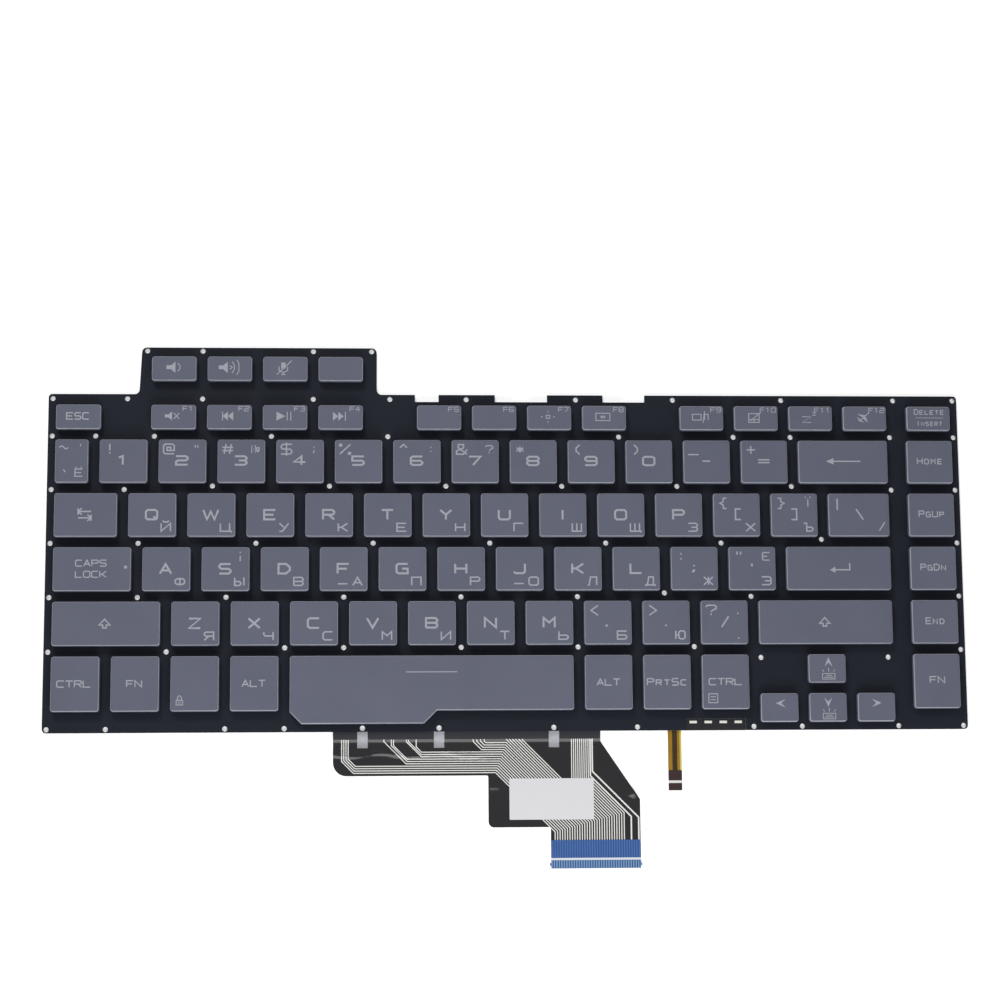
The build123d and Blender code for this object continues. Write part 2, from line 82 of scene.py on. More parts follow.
# %% Camera
camera_data = bpy.data.cameras.new("camera")
camera_data.lens = 82.8
camera_data.sensor_width = 36
camera = bpy.data.objects.new("camera", camera_data)
scene.collection.objects.link(camera)
camera_place = [-0.04302, -0.08876, 0.74696]
camera_axes = np.array([
    [0.998566, -0.0072689, 0.0530391],
    [-0.0004814, 0.9894798, 0.1446705],
    [-0.0535327, -0.1444885, 0.9880573],
])
camera_matrix = np.eye(4)
camera_matrix[:3, :3] = camera_axes.T
camera_matrix[:3, 3] = camera_place
camera.matrix_world = Matrix(camera_matrix.tolist())
scene.camera = camera
print("camera", [round(value, 3) for value in camera.location])

# %% [markdown]
# ## Floor, world and lamps
# A product picture on white needs an even, soft light and a floor that renders white but still takes the
# shadow. Large area lamps give the soft light. The floor and the world are lifted to white only for rays that
# show them (camera, gloss and transmission), so that no extra light falls on the keyboard. Near the keyboard the
# floor is lifted less, which leaves the shadow in sight. One low lamp on the typist's side draws the bright line
# along the front edges of the caps.

# %% Shader sockets as Python values
class Paint:
    """A value in a node tree: arithmetic on it adds Math nodes, and add() makes any other node."""

    def __init__(self, tree, socket=None):
        self.tree = tree
        self.socket = socket

    def add(self, kind, settings, sockets, output=0):
        """Makes a node: first its settings, then values or links of its sockets."""
        node = self.tree.nodes.new(kind)
        for name, value in settings.items():
            setattr(node, name, value)
        for name, value in sockets.items():
            if isinstance(value, Paint):
                self.tree.links.new(value.socket, node.inputs[name])
            else:
                node.inputs[name].default_value = value
        return Paint(self.tree, node.outputs[output])

    def math(self, operation, first, second):
        return self.add("ShaderNodeMath", {"operation": operation}, {0: first, 1: second})

    def __add__(self, other):
        return self.math("ADD", self, other)

    __radd__ = __add__

    def __sub__(self, other):
        return self.math("SUBTRACT", self, other)

    def __mul__(self, other):
        return self.math("MULTIPLY", self, other)

    __rmul__ = __mul__

    def __gt__(self, other):
        return self.math("GREATER_THAN", self, other)

    def __lt__(self, other):
        return self.math("LESS_THAN", self, other)

    def __mod__(self, other):
        return self.math("FLOORED_MODULO", self, other)

    def to(self, node, socket):
        """Links this value to a socket of a node that is already there."""
        self.tree.links.new(self.socket, node.inputs[socket])


def shade(red, green, blue):
    """A screen colour, 0 to 255, as the linear colour that sockets take: ((c + 0.055) / 1.055) ** 2.4."""
    screen = np.array([red, green, blue]) / 255
    linear = np.where(screen <= 0.04045, screen / 12.92, ((screen + 0.055) / 1.055) ** 2.4)
    return tuple(float(part) for part in linear)


def blend(factor, first, second):
    """A colour between two others, by a value from 0 to 1."""
    colours = {6: first if isinstance(first, Paint) else (*first, 1),
               7: second if isinstance(second, Paint) else (*second, 1)}
    return factor.add("ShaderNodeMix", {"data_type": "RGBA"}, {0: factor, **colours}, 2)


print("mid grey is", round(shade(128, 128, 128)[0], 3), "in linear light")

# %% Finishes start from one shader and the object's own coordinates
def new_finish(name, **constants):
    """A material: constants go straight on the Principled shader's sockets; returns it, the shader and a place."""
    material = bpy.data.materials.new(name)
    material.use_nodes = True
    tree = material.node_tree
    shader = tree.nodes["Principled BSDF"]
    for socket, value in constants.items():
        shader.inputs[socket.replace("_", " ")].default_value = value
    return material, shader, Paint(tree).add("ShaderNodeTexCoord", {}, {}, "Object")


def speckle(place, per_metre, detail=2.0):
    """Soft noise from 0 to 1 with so many grains to a metre."""
    return place.add("ShaderNodeTexNoise", {}, {"Vector": place, "Scale": per_metre, "Detail": detail}, 0)


def relief(place, height, distance, strength, shader):
    """Presses a height into the shader's normal; distance is the relief's depth in metres."""
    bump = place.add("ShaderNodeBump", {}, {"Height": height, "Distance": distance, "Strength": strength})
    bump.to(shader, "Normal")


def mottled(name, noise, dark, light, rough, bump=None, grain=None, **constants):
    """A finish that follows one noise, given by its grains to a metre and, if need be, its detail.

    The colour goes from dark to light with the noise, and the roughness is the first number of rough plus the
    noise times the second. bump is the depth and strength of the relief, which may have a finer grain of its own.
    """
    material, shader, place = new_finish(name, **constants)
    cloud = speckle(place, *noise)
    blend(cloud, shade(*dark), shade(*light)).to(shader, "Base Color")
    (rough[0] + rough[1] * cloud).to(shader, "Roughness")
    if bump:
        relief(place, speckle(place, grain) if grain else cloud, *bump, shader)
    return material


def axis(place, letter):
    """The X, Y or Z part of a place, in millimetres."""
    return place.add("ShaderNodeSeparateXYZ", {}, {0: place}, letter) * 1000


def band(value, low, high):
    """1 where a value lies between two numbers, else 0."""
    return (value > low) * (value < high)


def seen_directly(paint):
    """1 for rays that show a surface (camera, gloss, transmission), 0 for the rays that light the object."""
    rays = [paint.add("ShaderNodeLightPath", {}, {}, name)
            for name in ("Is Camera Ray", "Is Glossy Ray", "Is Transmission Ray")]
    return rays[0].math("MAXIMUM", rays[0].math("MAXIMUM", rays[0], rays[1]), rays[2])


print("helpers for finishes are ready")

# %% Floor and world
floor_half, floor_drop = 1.2, 1e-4
near_reach, near_lift, full_lift = 0.35, 0.4, 1.0
world_light = 0.32
floor_finish, floor_shader, floor_place = new_finish("floor_paper", Roughness=0.9)
blend(speckle(floor_place, 40), (0.93, 0.93, 0.93), (0.95, 0.95, 0.95)).to(floor_shader, "Base Color")
floor_reach = floor_place.add("ShaderNodeVectorMath", {"operation": "LENGTH"}, {0: floor_place}, "Value")
# The node's Value stays at 1 and the distance is its From Min. Clamped, that gives near_lift within near_reach,
# full_lift from there to 1 m out, and less beyond, down to 0.7 in the floor's corners.
floor_lift = floor_place.add("ShaderNodeMapRange", {}, {1: floor_reach, 2: near_reach, 3: full_lift, 4: near_lift})
blend(seen_directly(floor_place) * floor_lift, (0, 0, 0), (1, 1, 1)).to(floor_shader, "Emission Color")
floor_shader.inputs["Emission Strength"].default_value = 1
floor_mesh = bpy.data.meshes.new("floor")
floor_corners = [(floor_half * x, floor_half * y, -floor_drop) for x, y in ((-1, -1), (1, -1), (1, 1), (-1, 1))]
floor_mesh.from_pydata(floor_corners, [], [(0, 1, 2, 3)])
floor_mesh.materials.append(floor_finish)
floor = bpy.data.objects.new("floor", floor_mesh)
scene.collection.objects.link(floor)

world = bpy.data.worlds.new("studio")
world.use_nodes = True
scene.world = world
sky = Paint(world.node_tree)
sky_shader = world.node_tree.nodes["Background"]
(world_light + (1 - world_light) * seen_directly(sky)).to(sky_shader, "Strength")
sky_shader.inputs["Color"].default_value = (1, 1, 1, 1)
print("floor and world are set")

# %% Lamps
def soft_lamp(name, place, aim, size, power):
    """A square area lamp at a place, turned to a point."""
    data = bpy.data.lights.new(name, "AREA")
    data.size = size
    data.energy = power
    lamp = bpy.data.objects.new(name, data)
    lamp.location = place
    lamp.rotation_euler = (Vector(place) - Vector(aim)).to_track_quat("Z", "Y").to_euler()
    scene.collection.objects.link(lamp)


soft_lamp("lamp_back", (-0.3, 0.6, 0.8), (-0.02, -0.03, 0), 0.2, 3.5)
soft_lamp("lamp_front", (0.0, -0.38, 0.36), (-0.02, -0.02, 0), 0.3, 1.6)
print("two soft lamps")

# %% [markdown]
# ## From arrays to pieces
# Everything that repeats on a keyboard (caps, links, domes, print) is a surface worked out with numpy. Three
# builders are enough: a stack of rings closed at both ends, a strip carried along a path, and a block. A
# builder returns points and rows of point numbers, so shapes can be joined before they become one mesh.

# %% Rings, strips and blocks
def ring_shell(rings, base, top):
    """Closed shell from a stack of rings: face (i, j) joins points j and j + 1 of rings i and i + 1.

    The points base and top close the two ends with triangles.
    """
    count, around = rings.shape[:2]
    points = np.concatenate([rings.reshape(-1, 3), [base, top]])
    here = np.arange(count * around).reshape(count, around)
    there = np.roll(here, -1, axis=1)
    sides = np.stack([here[:-1], there[:-1], there[1:], here[1:]], axis=-1).reshape(-1, 4)
    first = np.stack([np.full(around, len(points) - 2), there[0], here[0]], axis=-1)
    last = np.stack([here[-1], there[-1], np.full(around, len(points) - 1)], axis=-1)
    return points, [sides, first, last]


def strip(path, width, height, thickness):
    """Flat strip along a path: each point moves half the width to both sides, along the mitre of its corner.

    The mitre is the sum of the two side directions over 1 + their product. height(x, y) gives the top, and the
    underside lies a thickness lower. A path that ends where it starts becomes a closed band.
    """
    closed = np.allclose(path[0], path[-1])
    run = np.diff(path, axis=0)
    run = run / np.linalg.norm(run, axis=1, keepdims=True)
    left = np.stack([-run[:, 1], run[:, 0]], axis=-1)
    before = np.concatenate([left[-1:] if closed else left[:1], left])
    after = np.concatenate([left, left[:1] if closed else left[-1:]])
    mitre = (before + after) / np.maximum(1 + (before * after).sum(axis=1), 0.4)[:, None]
    edges = np.stack([path - mitre * width / 2, path + mitre * width / 2], axis=1)[:len(path) - closed]
    top = height(edges[..., 0], edges[..., 1])
    upper = np.concatenate([edges, top[..., None]], axis=-1)
    lower = np.concatenate([edges, top[..., None] - thickness], axis=-1)[:, ::-1]
    around = np.concatenate([upper, lower], axis=1)
    here = np.arange(4 * len(around)).reshape(-1, 4)
    there = np.roll(here, -1, axis=0)
    if not closed:
        here, there = here[:-1], there[:-1]
    sides = np.stack([here, there, np.roll(there, -1, 1), np.roll(here, -1, 1)], axis=-1).reshape(-1, 4)
    ends = [] if closed else [np.array([here[0], there[-1][::-1]])]
    return around.reshape(-1, 3), [sides] + ends


def anticlockwise(outline):
    """The outline's points in the order that makes its area, half the sum of x y' - x' y, positive."""
    turning = outline * np.roll(outline, -1, axis=0)[:, ::-1]
    return outline[::-1] if (turning[:, 0] - turning[:, 1]).sum() < 0 else outline


def extruded(outline, start, end):
    """Bar with the outline (y, z) as its section, from x = start to x = end."""
    outline = anticlockwise(outline)
    count = len(outline)
    points = np.concatenate([np.insert(outline, 0, start, axis=1), np.insert(outline, 0, end, axis=1)])
    here = np.arange(count)
    there = np.roll(here, -1)
    sides = np.stack([here, there, there + count, here + count], axis=-1)
    return points, [sides, here[None, ::-1], here[None] + count]


def block(low, high):
    """Box between two corners, as a bar with a rectangular section."""
    section = np.array([[low[1], low[2]], [high[1], low[2]], [high[1], high[2]], [low[1], high[2]]])
    return extruded(section, low[0], high[0])


def joined(shapes):
    """Several shapes as one: faces count on from the points of the shapes before."""
    starts = np.cumsum([0] + [len(points) for points, faces in shapes])
    points = np.concatenate([points for points, faces in shapes])
    return points, [rows + start for (_, faces), start in zip(shapes, starts) for rows in faces]


def placed(shape, x, y, z=0.0, turned=False):
    """A shape moved to a place; turned gives it a quarter turn about Z first, (x, y) to (-y, x)."""
    points, faces = shape
    if turned:
        points = np.stack([-points[:, 1], points[:, 0], points[:, 2]], axis=-1)
    return points + [x, y, z], faces


def mesh_piece(mesh, finish, body, sharp=35):
    """A piece from a mesh in metres, shaded smooth except at edges sharper than an angle."""
    mesh.materials.clear()
    mesh.materials.append(finish)
    mesh.shade_smooth()
    mesh.set_sharp_from_angle(angle=radians(sharp))
    piece = bpy.data.objects.new(mesh.name, mesh)
    scene.collection.objects.link(piece)
    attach(piece, body)
    return piece


def new_piece(name, shape, finish, body):
    """A piece from a shape in millimetres."""
    points, faces = shape
    mesh = bpy.data.meshes.new(name)
    mesh.from_pydata((points / 1000).tolist(), [], [row for rows in faces for row in rows.tolist()])
    return mesh_piece(mesh, finish, body)


def side_directions(corners):
    """Unit vectors from each corner of a polygon to the corner before it and to the one after it."""
    sides = np.stack([np.roll(corners, 1, axis=0), np.roll(corners, -1, axis=0)]) - corners
    return sides / np.linalg.norm(sides, axis=-1, keepdims=True)


def rounded(corners, radius, steps=5):
    """Outline of a polygon with an arc at each corner that touches both of its sides.

    The arc's middle lies on the corner's bisector, radius / sin(half the angle) away, and the arc starts and
    ends radius / tan(half the angle) along the sides.
    """
    corners = np.asarray(corners, float)
    radius = np.broadcast_to(np.asarray(radius, float), len(corners))[:, None]
    back, ahead = side_directions(corners)
    half = np.arccos(np.clip((back * ahead).sum(axis=1, keepdims=True), -1, 1)) / 2
    bisector = back + ahead
    middle = corners + bisector / np.linalg.norm(bisector, axis=1, keepdims=True) * radius / np.sin(half)
    start = corners + back * radius / np.tan(half) - middle
    end = corners + ahead * radius / np.tan(half) - middle
    first = np.arctan2(start[:, 1], start[:, 0])
    sweep = (np.arctan2(end[:, 1], end[:, 0]) - first + pi) % (2 * pi) - pi
    angle = first[:, None] + sweep[:, None] * np.linspace(0, 1, steps + 1)
    arcs = middle[:, None] + radius[:, None] * np.stack([np.cos(angle), np.sin(angle)], axis=-1)
    return arcs.reshape(-1, 2)


def inset(corners, amount):
    """Corners of a polygon moved inwards: along both sides, by the amount over the sine of the angle."""
    corners = np.asarray(corners, float)
    back, ahead = side_directions(corners)
    sine = ahead[:, 0] * back[:, 1] - ahead[:, 1] * back[:, 0]
    return corners + (back + ahead) * (amount / sine)[:, None]


def rectangle(low_x, low_y, high_x, high_y):
    return np.array([[low_x, low_y], [high_x, low_y], [high_x, high_y], [low_x, high_y]])


print("a rounded square has", len(rounded(rectangle(0, 0, 1, 1), 0.2)), "points")

# %% [markdown]
# ## Where the keys are
# A moving key is a CAD node of its own, so its box says where it is. The keys that stand still share two
# nodes. Their caps are found by splitting the nodes' triangles at the gaps between the caps, first into rows,
# then into columns.

# %% Places of the caps
least_gap = 0.5


def islands(spans, axes):
    """Boxes of the groups that lie apart: sorted by their low side, cut where one starts past all before it."""
    if not axes:
        return [(spans[:, 0].min(axis=0), spans[:, 1].max(axis=0))]
    spans = spans[np.argsort(spans[:, 0, axes[0]])]
    reach = np.maximum.accumulate(spans[:, 1, axes[0]])
    cuts = np.flatnonzero(spans[1:, 0, axes[0]] > reach[:-1] + least_gap) + 1
    return [box for group in np.split(spans, cuts) for box in islands(group, axes[1:])]


def standing_boxes(node):
    """Boxes of the caps in a node, sorted from the back row to the front and from left to right."""
    mesh = frame["nodes"][node].data
    points = np.empty(3 * len(mesh.vertices), np.float32)
    mesh.vertices.foreach_get("co", points)
    corners = np.empty(len(mesh.loops), np.int32)
    mesh.loops.foreach_get("vertex_index", corners)
    triangles = points.reshape(-1, 3)[corners].reshape(-1, 3, 3) * 1000.0
    triangles = triangles[triangles[..., 2].min(axis=1) > cap_z - 0.01]
    caps = islands(np.stack([triangles.min(axis=1), triangles.max(axis=1)], axis=1), (1, 0, 1))
    return sorted(caps, key=lambda box: (-round(float(box[1][1])), box[0][0]))


moving = [name for name in frame["bodies"] if name.startswith("key_")]
cap_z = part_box("key_q")[0].z * 1000
cap_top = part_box("key_q")[1].z * 1000
boxes = {name[4:]: [np.array(corner) * 1000 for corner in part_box(name)] for name in moving}
standing = {
    "function_keys": [f"media_{i}" for i in range(1, 5)] + ["escape"] + [f"f{i}" for i in range(1, 13)] + ["delete"],
    "outer_keys": ["grave", *"1234567890", "minus", "equals", "backspace", "home", "page_up", "page_down", "end",
                   "up", "right_function", "left", "down", "right"],
}
for node, names in standing.items():
    boxes.update(zip(names, standing_boxes(node)))
print(len(boxes), "caps, rim at", round(cap_z, 3), "mm, top at", round(cap_top, 3), "mm")

# %% [markdown]
# ## Key caps
# A cap is a thin moulded shell: a rim, a skirt that leans in by 8 degrees, a small round edge and a top that is
# dished by a few hundredths of a millimetre under the finger. It could be a bevelled cube, but one profile
# carried round the outline as a stack of rings gives the hollow inside, the edge and the dish in one closed
# surface. The space bar has a step and a cut corner, and goes through the same function with its own corners.

# %% Cap shell
cap_height = cap_top - cap_z
cap_roof = 0.75
cap_wall = 0.8
corner_r = 1.0
inner_r = 0.4
edge_r = 0.3
lean = radians(8)
edge_in = cap_height * np.tan(lean) + edge_r / np.tan((pi / 2 + lean) / 2)
space_depths = (17.9, 22.1)
space_step, space_cut = 47.5, 3.9
top_dish = 0.06


def cap_depth(name):
    """Depth of a cap; for the space bar, of its straight part."""
    low, high = boxes[name]
    return space_depths[0] if name == "space" else high[1] - low[1]


def cap_corners(name):
    """Corners of a cap's rim around the middle of its straight part."""
    low, high = boxes[name]
    half_w = (high[0] - low[0]) / 2
    back = cap_depth(name) / 2
    if name != "space":
        return rectangle(-half_w, -back, half_w, back)
    front = back - space_depths[1]
    step = space_step - half_w
    return np.array([
        [space_cut - half_w, front], [step + back + front, front], [step, -back], [half_w, -back],
        [half_w, back], [-half_w, back], [-half_w, front + space_cut],
    ])


def cap_middle(name):
    low, high = boxes[name]
    return (low[0] + high[0]) / 2, high[1] - cap_depth(name) / 2


def dish_depth(name):
    return 0.0 if name == "space" else top_dish


def cap_shell(name):
    """Rings from the middle of the roof's underside out, down the inner wall, up the skirt and in over the top.

    The edge is an arc from the skirt's direction to level. The top's rings are its outline times s, at the
    height top - dish * (1 - s * s).
    """
    corners = cap_corners(name)
    turn = np.linspace(lean, pi / 2, 6)
    ins = np.concatenate([[cap_wall, cap_wall, 0], edge_in - edge_r * np.cos(turn)])
    heights = np.concatenate([[cap_height - cap_roof, 0, 0], cap_height - edge_r + edge_r * np.sin(turn)])
    radii = np.maximum(corner_r - ins, inner_r)
    outlines = [rounded(inset(corners, amount), radius) for amount, radius in zip(ins, radii)]
    rings = np.stack([np.insert(ring, 2, z, axis=1) for ring, z in zip(outlines, heights)])
    share = np.array([0.9, 0.7, 0.45, 0.2])
    inner = rings[-1] * np.stack([share, share, np.ones(4)], axis=-1)[:, None]
    inner[..., 2] -= (dish_depth(name) * (1 - share ** 2))[:, None]
    shell = np.concatenate([rings, inner])
    return ring_shell(shell, [0, 0, cap_height - cap_roof], [0, 0, cap_height - dish_depth(name)])


print("a cap's shell has", len(cap_shell("q")[0]), "points")

# %% [markdown]
# ## Scissor links, clips, hooks and domes
# Under each cap a pair of crossed frames keeps it level, held by clips under the cap and by hooks of the plate,
# and a rubber dome brings it back. Little of this shows, but it fills the gap under the caps from a low angle
# and it moves with the key. Bars and frames have only a few faces, because each of them is repeated often.

# %% Links, clips and hooks of one pair
deck_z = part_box("light_shield")[1].z * 1000
membrane_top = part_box("switch_membrane")[1].z * 1000
plate_t = 0.5
plate_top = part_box("base_plate")[0].z * 1000 + plate_t
roof_z = cap_top - cap_roof
link_t, link_bar, link_rest = 0.6, 0.8, 0.5
low_bar, high_bar = deck_z + link_rest, roof_z - link_rest
letter_link = {"reach": 4.8, "half": 5.7, "arm": 1.0, "clip": 2.6, "dome": (2.9, 2.4, 1.5)}
narrow_link = {"reach": 3.8, "half": 3.0, "arm": 0.55, "clip": 1.5, "dome": (1.5, 1.35, 0.95)}
lip_gap, lip_t, post_in, post_out = 0.2, 0.2, 0.6, 1.0
clip_w, hook_w = 0.9, 1.4
foot_half_w, foot_half_d = 0.45, 0.4
pin_out, pin_half, frame_gap = 0.24, 0.15, 0.3
pair_inset = 8.4


def hook(x, width, side, bar, root, bar_z):
    """L-shaped bar: a post beside a link's bar and a lip that reaches over the bar's middle."""
    way = 1 if bar_z > root else -1
    near = bar_z + way * (link_t / 2 + lip_gap)
    far = near + way * lip_t
    inside, outside = bar + side * post_in, bar + side * post_out
    section = np.array([[inside, root], [outside, root], [outside, far], [bar, far], [bar, near], [inside, near]])
    return extruded(section, x - width / 2, x + width / 2)


def link_frame(link, half, way):
    """Flat frame of two arms and two bars on a slope, with two feet.

    The slope turns (a, b, c) about X to (a, b cos - c sin, b sin + c cos).
    """
    reach, arm = link["reach"], link["arm"]
    slope = way * np.arctan2((high_bar - low_bar) / 2, reach)
    length = reach / np.cos(slope)
    outer = rectangle(-half, -length - link_bar / 2, half, length + link_bar / 2)
    inner = rectangle(arm - half, link_bar / 2 - length, half - arm, length - link_bar / 2)
    flat = np.stack([np.insert(ring, 2, z, axis=1) for ring, z in
                     ((inner, -link_t / 2), (outer, -link_t / 2), (outer, link_t / 2), (inner, link_t / 2))])
    here = np.arange(16).reshape(4, 4)
    there = np.roll(here, -1, axis=1)
    faces = np.stack([here, there, np.roll(there, -1, 0), np.roll(here, -1, 0)], axis=-1).reshape(-1, 4)
    a, b, c = flat.reshape(-1, 3).T
    points = np.stack([a, b * np.cos(slope) - c * np.sin(slope), b * np.sin(slope) + c * np.cos(slope)], axis=-1)
    points[:, 2] += (low_bar + high_bar) / 2
    foot_y = -way * reach
    feet = [block((x - foot_half_w, foot_y - foot_half_d, membrane_top),
                  (x + foot_half_w, foot_y + foot_half_d, low_bar)) for x in (-link["clip"], link["clip"])]
    return joined([(points, [faces])] + feet)


def link_pair(link):
    """The outer and the inner frame, crossed, with a pin on each side of the inner one."""
    inner_half = link["half"] - link["arm"] - frame_gap
    middle = (low_bar + high_bar) / 2
    pins = [block((min(x, x + out), -pin_half, middle - pin_half), (max(x, x + out), pin_half, middle + pin_half))
            for x, out in ((inner_half, pin_out), (-inner_half, -pin_out))]
    return joined([link_frame(link, link["half"], 1), link_frame(link, inner_half, -1)] + pins)


def cap_clips(link):
    """The four clips under a cap's roof, from the rim's height up."""
    roof = roof_z - cap_z
    return joined([hook(x, clip_w, side, side * link["reach"], roof, roof - link_rest)
                   for x in (-link["clip"], link["clip"]) for side in (-1, 1)])


def plate_hooks(link):
    return joined([hook(0, hook_w, side, side * link["reach"], plate_top, low_bar) for side in (-1, 1)])


def pair_places(name):
    """Which link a cap has, and the x, y and turn of each pair: wide caps have two, narrow ones lie across."""
    low, high = boxes[name]
    width, depth = high[0] - low[0], high[1] - low[1]
    small = min(width, depth) - 2 * cap_wall < 2 * letter_link["half"]
    spread = width / 2 - pair_inset
    x, y = cap_middle(name)
    offsets = (-spread, spread) if spread > letter_link["half"] + letter_link["dome"][0] else (0.0,)
    return narrow_link if small else letter_link, [(x + dx, y, bool(small and width > depth)) for dx in offsets]


pair_count = sum(len(pair_places(name)[1]) for name in boxes)
print(pair_count, "link pairs,", len(link_pair(letter_link)[0]), "points in each")

# %% Rubber dome
travel = 1.7
dome_wall, dome_flange, dome_pad, dome_stroke_room, dome_round = 0.45, 0.25, 0.8, 0.35, 0.12


def dome(link, around=20):
    """Profile turned about Z: from the plunger's middle out, down the inside, up the outside to the top."""
    base_r, waist_r, top_r = link["dome"]
    height = roof_z - membrane_top
    shoulder, ceiling = height - dome_pad, height - dome_pad - dome_wall
    plunger = ceiling - (height - travel - dome_stroke_room - dome_wall)
    profile = np.array([
        [top_r - dome_wall, plunger], [top_r - dome_wall, ceiling], [top_r - dome_wall / 2, ceiling],
        [waist_r - dome_wall, 0], [base_r, 0], [base_r, dome_flange], [waist_r, dome_flange], [top_r, shoulder],
        [top_r, height - dome_round], [top_r - dome_round, height],
    ])
    turn = np.arange(around) * 2 * pi / around
    rings = np.stack([profile[:, :1] * np.cos(turn), profile[:, :1] * np.sin(turn),
                      np.repeat(profile[:, 1:], around, axis=1)], axis=-1)
    points, faces = ring_shell(rings, [0, 0, plunger], [0, 0, height])
    return points + [0, 0, membrane_top], faces


print("a dome has", len(dome(letter_link)[0]), "points")

# %% [markdown]
# ## Finishes of the keys
# Caps are moulded plastic with a soft matt paint: a fine grain in the bump and a slight mottling in the colour.
# Their top edges carry a painted highlight, a paler band where the edge catches the light. The print lets the
# backlight through and looks like pale grey ink.
# Links are unpainted plastic and domes milky rubber.

# %% Cap paint, print, links and rubber
# The band from the top of the skirt over the round edge is a painted highlight: a paler, slightly glossier colour
# where the edge catches the light.
highlight_low, highlight_high = 4.45, 5.12
cap_paint, cap_shader, cap_place = new_finish("cap_paint", Specular_IOR_Level=0.3)
cap_cloud = speckle(cap_place, 60, 3)
cap_grain = speckle(cap_place, 9000)
cap_level = axis(cap_place, "Z")
# Painted highlight along the caps' top edges, broken up by a finer noise.
painted_edge_highlight = band(cap_level, highlight_low, highlight_high) * (0.6 + 0.6 * speckle(cap_place, 700))
cap_colour = blend(cap_cloud, shade(87, 90, 106), shade(97, 100, 116))
blend(painted_edge_highlight, cap_colour, shade(196, 199, 208)).to(cap_shader, "Base Color")
(0.5 + 0.12 * cap_grain - 0.1 * painted_edge_highlight).to(cap_shader, "Roughness")
relief(cap_place, cap_grain, 2e-5, 0.25, cap_shader)

print_ink = mottled("print_ink", (1500,), (148, 150, 161), (166, 168, 178), (0.45, 0.1), (1e-5, 0.2))
link_plastic = mottled("link_plastic", (700,), (196, 197, 196), (216, 216, 214), (0.35, 0.15), (2e-5, 0.2))
dome_rubber = mottled("dome_rubber", (900,), (206, 206, 202), (226, 226, 222), (0.5, 0.2), (2e-5, 0.3))
print("finishes:", [m.name for m in (cap_paint, print_ink, link_plastic, dome_rubber)])

# %% Caps, links and domes become pieces
def whole_cap(name):
    """A cap's shell at its place, with the clips of its link pairs."""
    link, places = pair_places(name)
    x, y = cap_middle(name)
    clips = [placed(cap_clips(link), px, py, cap_z, turned) for px, py, turned in places]
    return joined([placed(cap_shell(name), x, y, cap_z)] + clips)


def whole_links(name):
    link, places = pair_places(name)
    return joined([placed(link_pair(link), px, py, 0.0, turned) for px, py, turned in places])


def whole_dome(name):
    return placed(dome(pair_places(name)[0]), *cap_middle(name))


for body in moving:
    name = body[4:]
    cap = new_piece(f"cap_{name}", whole_cap(name), cap_paint, body)
    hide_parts(body)
    links = new_piece(f"links_{name}", whole_links(name), link_plastic, "chassis")
    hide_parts("scissor_links")
    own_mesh(links)
    rubber = new_piece(f"dome_{name}", whole_dome(name), dome_rubber, "chassis")
    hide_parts("rubber_domes")
    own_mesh(rubber)

for node, names in standing.items():
    caps = new_piece(f"caps_{node}", joined([whole_cap(name) for name in names]), cap_paint, "chassis")
    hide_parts(node)
    links = new_piece(f"links_{node}", joined([whole_links(name) for name in names]), link_plastic, "chassis")
    domes = new_piece(f"domes_{node}", joined([whole_dome(name) for name in names]), dome_rubber, "chassis")
print(len(moving), "moving caps and", len(boxes) - len(moving), "standing caps")

# %% [markdown]
# ## Sheets of the sandwich
# The keyboard's body is a stack of sheets with one outline: underside film, light guide, steel plate, switch
# membrane and light shield, with rivet holes through all of them. Booleans would be slow and leave poor faces.
# A flat filled curve does the same at once: its outline and holes are closed lines, its extrusion is the
# thickness, and it becomes a mesh before it is put in its place.

# %% Outline, rivet holes, windows and slots
low_corner, high_corner = (np.array(corner) * 1000 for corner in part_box("underside_film"))
right = high_corner[0]
front = low_corner[1]
back = -front
tab_back = high_corner[1]
tab_right, tab_left, tab_foot = -43.0125, -119.9125, -120.6625
lamp_window = (57.3625, 77.0625, -51.575)
guide_window = (51.2625, 77.0625, -51.575)
notches = ((38.55, 13.9), (4.55, 17.3), (-26.55, 7.8))
notch_depth = 2.35
plate_r, notch_r, tab_r = 1.2, 0.15, 1.6


def edge_cut(first_x, last_x, edge_y, depth_y):
    """Corners of a rectangular cut into an edge."""
    return [[first_x, edge_y], [first_x, depth_y], [last_x, depth_y], [last_x, edge_y]]


def sheet_outline(window=None):
    """Outline with the tab for the media keys, three notches at the back and a window at the front edge."""
    corners, radii = [[-right, front]], [plate_r]
    if window:
        left_x, right_x, depth_y = window
        corners += edge_cut(left_x, right_x, front, depth_y)
        radii += [notch_r] * 4
    corners += [[right, front], [right, back]]
    radii += [plate_r] * 2
    for x, width in notches:
        corners += edge_cut(x + width / 2, x - width / 2, back, back - notch_depth)
        radii += [notch_r] * 4
    corners += [[tab_right, back], [tab_right, tab_back], [tab_left, tab_back], [tab_foot, back], [-right, back]]
    radii += [tab_r] * 4 + [plate_r]
    return rounded(corners, radii, 4)


unit, row_pitch = 19.05, 17.65
block_left, number_back = -147.2625, 39.775
half_gap_x, half_gap_y = 1.675, 1.575
rivet_r, rivet_raise = 0.85, 1.2
pad_places = [-47.5625, -22.8625, 14.3375]
front_units = (1, 3, 4, 10, 12, 14.5)
level_units = [(0.75, 1.75, 3.75, 5.75, 9.75, 11.75, 12.75, 14.5), (1.25, 14.5), (1.5, 3.5, 5.5, 7.5, 9.5, 11.5),
               (1.5, 3, 5, 7, 9, 12), (2,)]
raised_units = [(), (2.75, 4.75, 6.75, 8.75, 10.75, 12.75), (13.25,), (10.5,), (4, 5, 7, 9, 11)]


def gap_places(units):
    """The x of the gaps between keys that lie so many units from the block's left end."""
    return [block_left + step * unit - half_gap_x for step in units]


